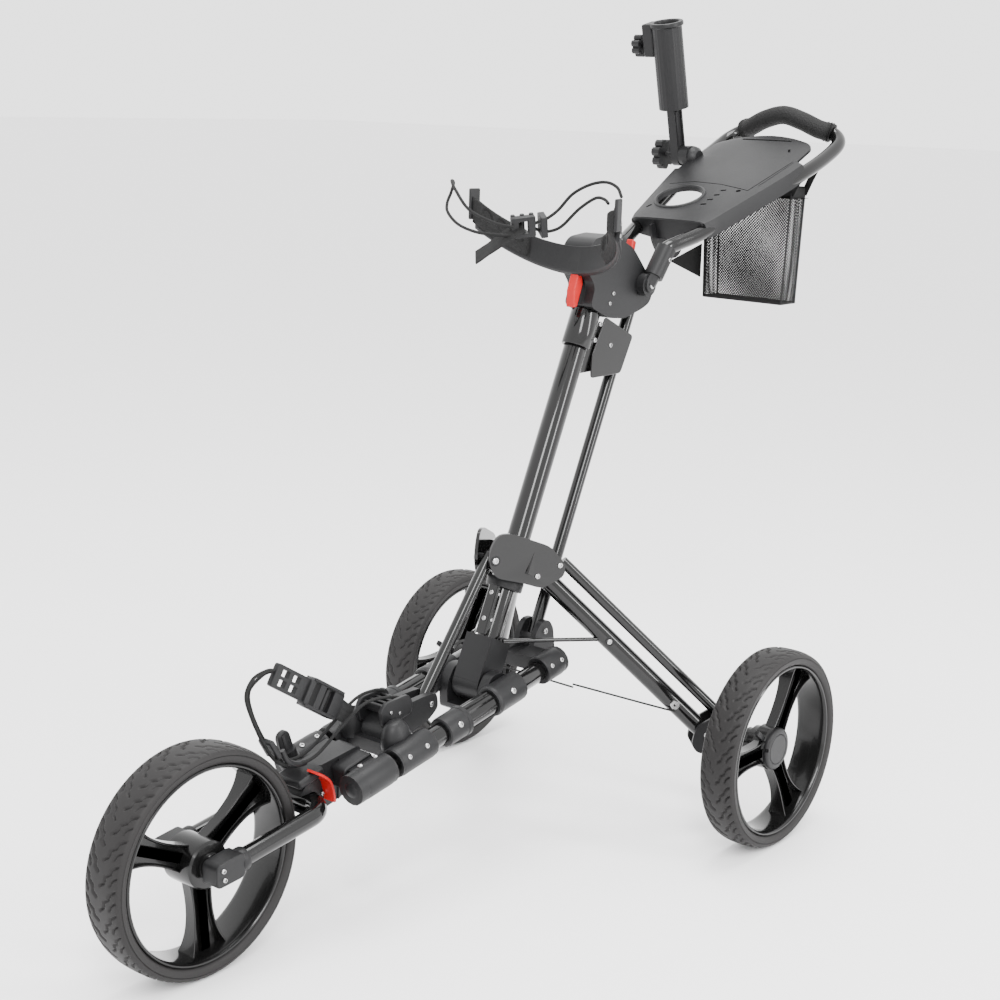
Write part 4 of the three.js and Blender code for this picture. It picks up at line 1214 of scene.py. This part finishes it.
slot_cut = block("slot", buckle_centre, (buckle_along, buckle_side, buckle_up), (14, 30, 18), 0.1)
dress(carve(baked(frame_plate), slot_cut), "head", "moulded_plastic")
for index, step in enumerate((-13, 0, 13)):
    place = buckle_centre + buckle_along * step * MM - buckle_side * 6 * MM
    dress(rod(f"buckle_bar_{index}", place - buckle_up * 0.016, place + buckle_up * 0.016, 3.4, 14), "head",
          "moulded_plastic")
connector = at(8, -200, 886)
dress(block("cord_connector", connector, (buckle_along, buckle_side, buckle_up), (10, 26, 30), 1.6), "head",
      "moulded_plastic")
tail = spline(
    [at(-2, -232, 884), at(-16, -246, 872), at(-34, -252, 858), at(-52, -254, 846), at(-64, -256, 838)], 8,
)
dress(sweep("upper_strap_tail", tail, strip(24, 2.4), up=(0.2, -0.6, 0.7)), "head", "elastic_cord")

# ---------------------------------------------------------------- handle
HALF_HANDLE = [
    (41, 42, 824), (42, 54, 843), (47, 74, 851), (58, 112, 863), (67, 155, 880), (86, 245, 917),
    (103, 330, 952), (107, 395, 978), (104, 436, 998), (86, 452, 1012), (62, 442, 1020), (34, 436, 1032),
]
handle_places = HALF_HANDLE + [(0, 436, 1040)] + [(-x, y, z) for x, y, z in reversed(HALF_HANDLE)]
handle_line = spline([at(*place) for place in handle_places], 10)
dress(
    sweep("handle_bent_tube", handle_line, circle(HANDLE_RADIUS, 24)),
    "handle",
    "painted_tube",
    "handle_tube",
)


def handle_share(start, end, count):
    """Points along a stretch of the handle's line."""
    lengths = [0.0]
    for a, b in zip(handle_line, handle_line[1:]):
        lengths.append(lengths[-1] + (b - a).length)
    points = []
    for k in range(count + 1):
        want = lengths[-1] * (start + (end - start) * k / count)
        i = max(n for n in range(len(lengths) - 1) if lengths[n] <= want)
        share = (want - lengths[i]) / (lengths[i + 1] - lengths[i])
        points.append(handle_line[i].lerp(handle_line[i + 1], share))
    return points


def grip_section(share):
    """The grip swells between its ribbed collars."""
    end = min(share, 1 - share)
    radius = GRIP_RADIUS - 0.6
    if end < 0.07:
        radius = GRIP_RADIUS + (1.2 if int(end * 100) % 2 else -0.3)
    return circle(radius, 32)


grip = sweep("handle_grip", handle_share(0.42, 0.58, 120), grip_section, smooth=60)
dress(grip, "handle", "foam", "grip")
for side, name in ((1, "left"), (-1, "right")):
    refined(f"handle_socket_{name}", "handle", "moulded_plastic", 3.0, 3)
    outer = ACROSS * side
    flange = [(0, 4), (9, 4), (11, 3), (11.6, 0), (11.6, -4), (0, -4)]
    dress(
        lathe(f"handle_bolt_seat_{name}", flange, at(side * 38, 22, 792), outer, 28),
        "handle",
        "moulded_plastic",
    )
    screw("handle", at(side * 42, 22, 792), outer, 5.4, 2.6)
    screw("handle", at(side * 54, 47, 829), outer, 3.4, 2.2)

# ---------------------------------------------------------------- tray
TRAY_LOW = 13.5
TRAY_TOP = 18.5


def tray_piece():
    """The moulded tray: a flat plate whose long edges wrap down outside the handle's tubes."""
    stations = [
        (-36, 66), (-20, 72), (20, 80), (60, 88), (110, 98), (150, 105), (186, 108), (196, 93), (236, 91),
    ]
    fine = []
    for (a0, w0), (a1, w1) in zip(stations, stations[1:]):
        for k in range(5):
            fine.append((a0 + (a1 - a0) * k / 5, w0 + (w1 - w0) * k / 5))
    for k in range(0, 19):
        angle = k / 18 * math.pi / 2
        fine.append((236 + 44 * math.sin(angle), 91 * math.cos(angle) ** 0.8))
    fine[-1] = (280, 6)
    rings = []
    for along, half in fine:
        roll = max(0, min(1, (194 - along) / 8))
        dome = 0.4
        ring = []
        steps = 14
        for k in range(steps + 1):
            x = -half + 2 * half * k / steps
            edge = abs(x) / half
            lift = TRAY_TOP + dome * (1 - edge ** 2) - 3 * edge ** 8
            ring.append((x, lift))
        ring.append((half + 2 * roll, TRAY_TOP - 6))
        ring.append((half + 3 * roll, TRAY_TOP - 7 - 21 * roll))
        ring.append((half + 0.8 * roll, TRAY_TOP - 7 - 21.6 * roll))
        ring.append((half - 3, TRAY_LOW - 2))
        for k in range(1, steps):
            x = half - 2 * half * k / steps
            ring.append((x * 0.96, TRAY_LOW - 1 + dome * (1 - (x / half) ** 2)))
        ring.append((-half + 3, TRAY_LOW - 2))
        ring.append((-half - 0.8 * roll, TRAY_TOP - 7 - 21.6 * roll))
        ring.append((-half - 3 * roll, TRAY_TOP - 7 - 21 * roll))
        ring.append((-half - 2 * roll, TRAY_TOP - 6))
        rings.append([on_tray(x, along, h) for x, h in ring])
    return loft("tray_moulding", rings, 40)


def tray_block(x, along, size, turn=0.0, height=16.0):
    across = ACROSS * math.cos(turn) + TRAY_ALONG * math.sin(turn)
    length = TRAY_ALONG * math.cos(turn) - ACROSS * math.sin(turn)
    return block("cut", on_tray(x, along, height), (across, length, TRAY_UP), size, 0.1)


cup = lathe("cut", [(0, -4), (36, -4), (36, 40), (0, 40)], on_tray(-26, 40, 0), TRAY_UP, 48)
cuts = [
    cup,
    tray_block(0, 262, (92, 4, 30)),
    tray_block(62, 226, (4, 12, 30), 0.5),
    tray_block(-60, 4, (4, 10, 30), -0.4),
    lathe("cut", [(0, 0), (4, 0), (4, 40), (0, 40)], on_tray(60, 74, 0), TRAY_UP, 20),
]
for index in range(4):
    cuts.append(tray_block(34 - index * 1.5, 72 - index * 17, (9, 4.5, 30), 0.35))
groove_lines = [
    ((-74, 84), (-34, 96)), ((-34, 96), (18, 92)), ((18, 92), (74, 78)), ((74, 78), (92, 200)),
    ((82, 96), (97, 210)),
]
for (x0, a0), (x1, a1) in groove_lines:
    turn = math.atan2(a1 - a0, x1 - x0)
    cuts.append(
        tray_block((x0 + x1) / 2, (a0 + a1) / 2, (math.hypot(x1 - x0, a1 - a0), 1.8, 3.2), turn, 18.9)
    )
notch = tray_block(-112, 180, (30, 70, 60))
cuts.append(notch)
tray = carve(tray_piece(), *cuts)
dress(tray, "handle", "moulded_plastic", "tray")

# The cup's curved support under the front of the tray, and the rim round its hole.
rim_ring = [(35.6, 12), (35.6, 19.8), (37.4, 21.6), (40.5, 20.6), (41.5, 18.4), (40.5, 12)]
dress(
    lathe("cup_rim", rim_ring, on_tray(-26, 40, 0), TRAY_UP, 60, closed=True), "handle", "moulded_plastic",
)
support = [
    on_tray(-26, -32, 10), on_tray(-26, -34, -14), on_tray(-26, -26, -34), on_tray(-26, -8, -46),
    on_tray(-26, 4, -50), on_tray(-26, 8, -44),
]
dress(
    sweep("cup_support", spline(support, 10), strip(30, 4), up=ACROSS, smooth=40),
    "handle",
    "moulded_plastic",
)
front_wall = plate(
    "tray_front_wall",
    rounded([(-60, -10), (-64, 18), (64, 18), (60, -10), (30, -16), (-30, -16)], 6),
    lambda a,
    b,
    c: on_tray(a, c, b),
    (-37, -32),
    1.4,
)
dress(front_wall, "handle", "moulded_plastic")

# ---------------------------------------------------------------- net bag
BAG_HALF = 80
BAG_FRONT = 340
BAG_BACK = 382
BAG_TOP = 921
BAG_BOTTOM = 745
BAG_WIDE = 16                          # net cells across it and from front to back
BAG_DEEP = 4


def bag_ring():
    """Places round the bag's mouth: along the front, the left side, the back and the right side."""
    ring = []
    for k in range(BAG_WIDE):
        ring.append((-BAG_HALF + 2 * BAG_HALF * k / BAG_WIDE, BAG_FRONT))
    for k in range(BAG_DEEP):
        ring.append((BAG_HALF, BAG_FRONT + (BAG_BACK - BAG_FRONT) * k / BAG_DEEP))
    for k in range(BAG_WIDE):
        ring.append((BAG_HALF - 2 * BAG_HALF * k / BAG_WIDE, BAG_BACK))
    for k in range(BAG_DEEP):
        ring.append((-BAG_HALF, BAG_BACK - (BAG_BACK - BAG_FRONT) * k / BAG_DEEP))
    return ring


def settle_bag(rows):
    """Hangs the bag as a cloth from its mouth and returns the settled grid round its four sides."""
    ring = bag_ring()
    count = len(ring)
    points = []
    for j in range(rows + 1):
        w = j / rows
        for x, y in ring:
            narrow = 1 - 0.08 * w
            points.append(at(x * narrow, y, BAG_TOP + (BAG_BOTTOM - BAG_TOP) * w))
    faces = []
    for j in range(rows):
        for i in range(count):
            k = (i + 1) % count
            faces.append((j * count + i, j * count + k, (j + 1) * count + k, (j + 1) * count + i))
    cloth = make("bag_cloth", points, faces)
    pinned = cloth.vertex_groups.new(name="mouth")
    pinned.add(list(range(count)), 1.0, "REPLACE")
    pinned.add(list(range(rows * count, (rows + 1) * count)), 0.5, "REPLACE")
    step = cloth.modifiers.new("cloth", "CLOTH")
    step.settings.quality = 6
    step.settings.mass = 0.12
    step.settings.tension_stiffness = 20
    step.settings.compression_stiffness = 4
    step.settings.bending_stiffness = 0.1
    step.settings.vertex_group_mass = "mouth"
    for number in range(1, 26):
        bpy.context.scene.frame_set(number)
    baked(cloth)
    bpy.context.scene.frame_set(1)
    settled = [vertex.co.copy() for vertex in cloth.data.vertices]
    bpy.data.objects.remove(cloth)
    return settled, count


def strand(points, faces, uvs, line, radius):
    """Adds a thin three-sided thread to a mesh in the making."""
    start = len(points)
    for i, p in enumerate(line):
        along = (line[min(i + 1, len(line) - 1)] - line[max(i - 1, 0)]).normalized()
        side = along.orthogonal().normalized()
        other = along.cross(side)
        for k in range(3):
            angle = k * 2 * math.pi / 3
            points.append(p + (side * math.cos(angle) + other * math.sin(angle)) * radius * MM)
    for i in range(len(line) - 1):
        for k in range(3):
            m = (k + 1) % 3
            a, b = start + i * 3, start + (i + 1) * 3
            faces.append((a + k, a + m, b + m, b + k))
            uvs += [(0, i), (1, i), (1, i + 1), (0, i + 1)]


def net_bag():
    rows = 18
    columns = BAG_WIDE
    settled, count = settle_bag(rows)
    repeat = 2

    def surface(i, j):
        """A point on the settled bag, i round it and j down it, in net cells."""
        u = (i / repeat) % count
        w = min(max(j / repeat, 0), rows - 0.0001)
        a, b = int(u), int(w)
        fu, fw = u - a, w - b
        corners = [settled[b * count + a], settled[b * count + (a + 1) % count],
                   settled[(b + 1) * count + a], settled[(b + 1) * count + (a + 1) % count]]
        return corners[0].lerp(corners[1], fu).lerp(corners[2].lerp(corners[3], fu), fw)

    points = []
    faces = []
    uvs = []
    around = count * repeat
    down = rows * repeat
    for start in range(around):
        for lean in (1, -1):
            line = [surface(start + lean * j, j) for j in range(down + 1)]
            strand(points, faces, uvs, line, 0.75)
    net = make("net", points, faces, 60, uvs)
    dress(net, "handle", "net_fabric", "net_bag")
    bottom = []
    for i in range(columns + 1):
        left = settled[rows * count + i]
        right = settled[rows * count + (2 * columns + BAG_DEEP - i) % count]
        bottom.append((left, right))
    points, faces, uvs = [], [], []
    for k in range(-14, 40):
        for lean in (1, -1):
            line = []
            for m in range(15):
                u = (k + lean * m) / 26 * columns
                if 0 <= u <= columns:
                    i = min(int(u), columns - 1)
                    left = bottom[i][0].lerp(bottom[i + 1][0], u - i)
                    right = bottom[i][1].lerp(bottom[i + 1][1], u - i)
                    line.append(left.lerp(right, m / 14))
            if len(line) > 1:
                strand(points, faces, uvs, line, 0.75)
    dress(make("net_bottom", points, faces, 60, uvs), "handle", "net_fabric")
    mouth = settled[:count] + [settled[0]]
    edge = sweep("net_mouth_edge", spline(mouth, 2), strip(2.2, 18), up=(0, 0, 1), caps=False, smooth=50)
    dress(edge, "handle", "net_fabric")
    low = [settled[rows * count + i % count] for i in range(count + 1)]
    dress(sweep("net_low_edge", spline(low, 2), circle(2.0, 8), caps=False), "handle", "net_fabric")
    for corner in (0, columns, columns + BAG_DEEP, 2 * columns + BAG_DEEP):
        line = [settled[j * count + corner % count] for j in range(rows + 1)]
        piece = sweep(f"net_corner_{corner}", spline(line, 3), strip(7, 1.6), up=(1, 0.3, 0))
        dress(piece, "handle", "net_fabric")


net_bag()
flap = plate(
    "net_side_flap", [(337, 830), (337, 775), (246, 806)], lambda a, b, c: at(c, a, b), (-81, -79.6), 0.3,
)
dress(flap, "handle", "net_fabric")
for side in (1, -1):
    front_strap = (at(side * 79, 341, 918), at(side * 103, 336, 953))
    back_strap = (at(side * 79, 381, 918), at(side * 105, 382, 972))
    for low, high in (front_strap, back_strap):
        strap_line = spline([low, low.lerp(high, 0.5) + Vector((0, 0, 0.002)), high], 6)
        piece = sweep(f"net_strap_{side}_{low.y:.3f}", strap_line, strip(10, 1.6), up=(0, 1, 0.2))
        dress(piece, "handle", "net_fabric")

# ---------------------------------------------------------------- umbrella holder
ribs = []
for i in range(72):
    radius = 23.9 if i % 3 else 23.3
    ribs.append((radius * math.cos(i * math.pi / 36), radius * math.sin(i * math.pi / 36)))
holder = sweep("umbrella_cup", [on_umbrella(0, 0, 76.5 + k * 134 / 6) for k in range(7)], ribs, smooth=20)
hole = lathe("cut", [(0, 90), (20.2, 90), (20.2, 240), (0, 240)], on_umbrella(0, 0, 0), UMBRELLA_UP, 40)
dress(carve(holder, hole), "umbrella", "moulded_plastic", "umbrella_tube")
lip = [(20, 206), (25, 206), (27, 208), (27, 212), (26, 213.8), (21, 213.8), (20, 212)]
dress(
    lathe("umbrella_lip", lip, on_umbrella(0, 0, 0), UMBRELLA_UP, 48, closed=True),
    "umbrella",
    "moulded_plastic",
)
umbrella_back = UMBRELLA_UP.cross(ACROSS)
housing = block(
    "umbrella_side_housing", on_umbrella(-29.5, 0, 186), (ACROSS, umbrella_back, UMBRELLA_UP), (20, 30, 52),
    2.8,
)
dress(housing, "umbrella", "moulded_plastic")
refined("umbrella_arm", "umbrella", "moulded_plastic", 2.0, 3)
for step in (-1, 1):
    rail = block(
        f"arm_rib_{step}", on_umbrella(8.2, step * 7, 40), (ACROSS, umbrella_back, UMBRELLA_UP), (3, 4, 66),
        0.8,
    )
    dress(rail, "umbrella", "moulded_plastic")
refined("umbrella_knuckle", "handle", "moulded_plastic", 2.6, 3)
knuckle = lathe(
    "knuckle_dome", [(0, 22), (12, 21), (17, 16), (19, 8), (19, 0), (0, 0)], at(-105, 322, 968), ACROSS, 32,
)
dress(knuckle, "handle", "moulded_plastic")
refined("umbrella_tilt_knob", "umbrella_tilt_knob", "moulded_plastic", 1.6, 2)
refined("umbrella_clamp_knob", "umbrella_clamp_knob", "moulded_plastic", 1.2, 2)
for body, place, size in (
    ("umbrella_tilt_knob", on_umbrella(-37, 0, 0), 11),
    ("umbrella_clamp_knob", on_umbrella(-61, 0, 176), 8),
):
    dome = [(0, 2.6), (size * 0.7, 2.2), (size, 0.4), (size, -2), (0, -2)]
    dress(lathe(f"{body}_dome", dome, place, -ACROSS, 28), body, "moulded_plastic")

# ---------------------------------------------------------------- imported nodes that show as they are
for name in ("front_axle", "rear_left_axle", "rear_right_axle"):
    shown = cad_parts[name]
    shown.data.materials.clear()
    shown.data.materials.append(LOOKS["steel"])
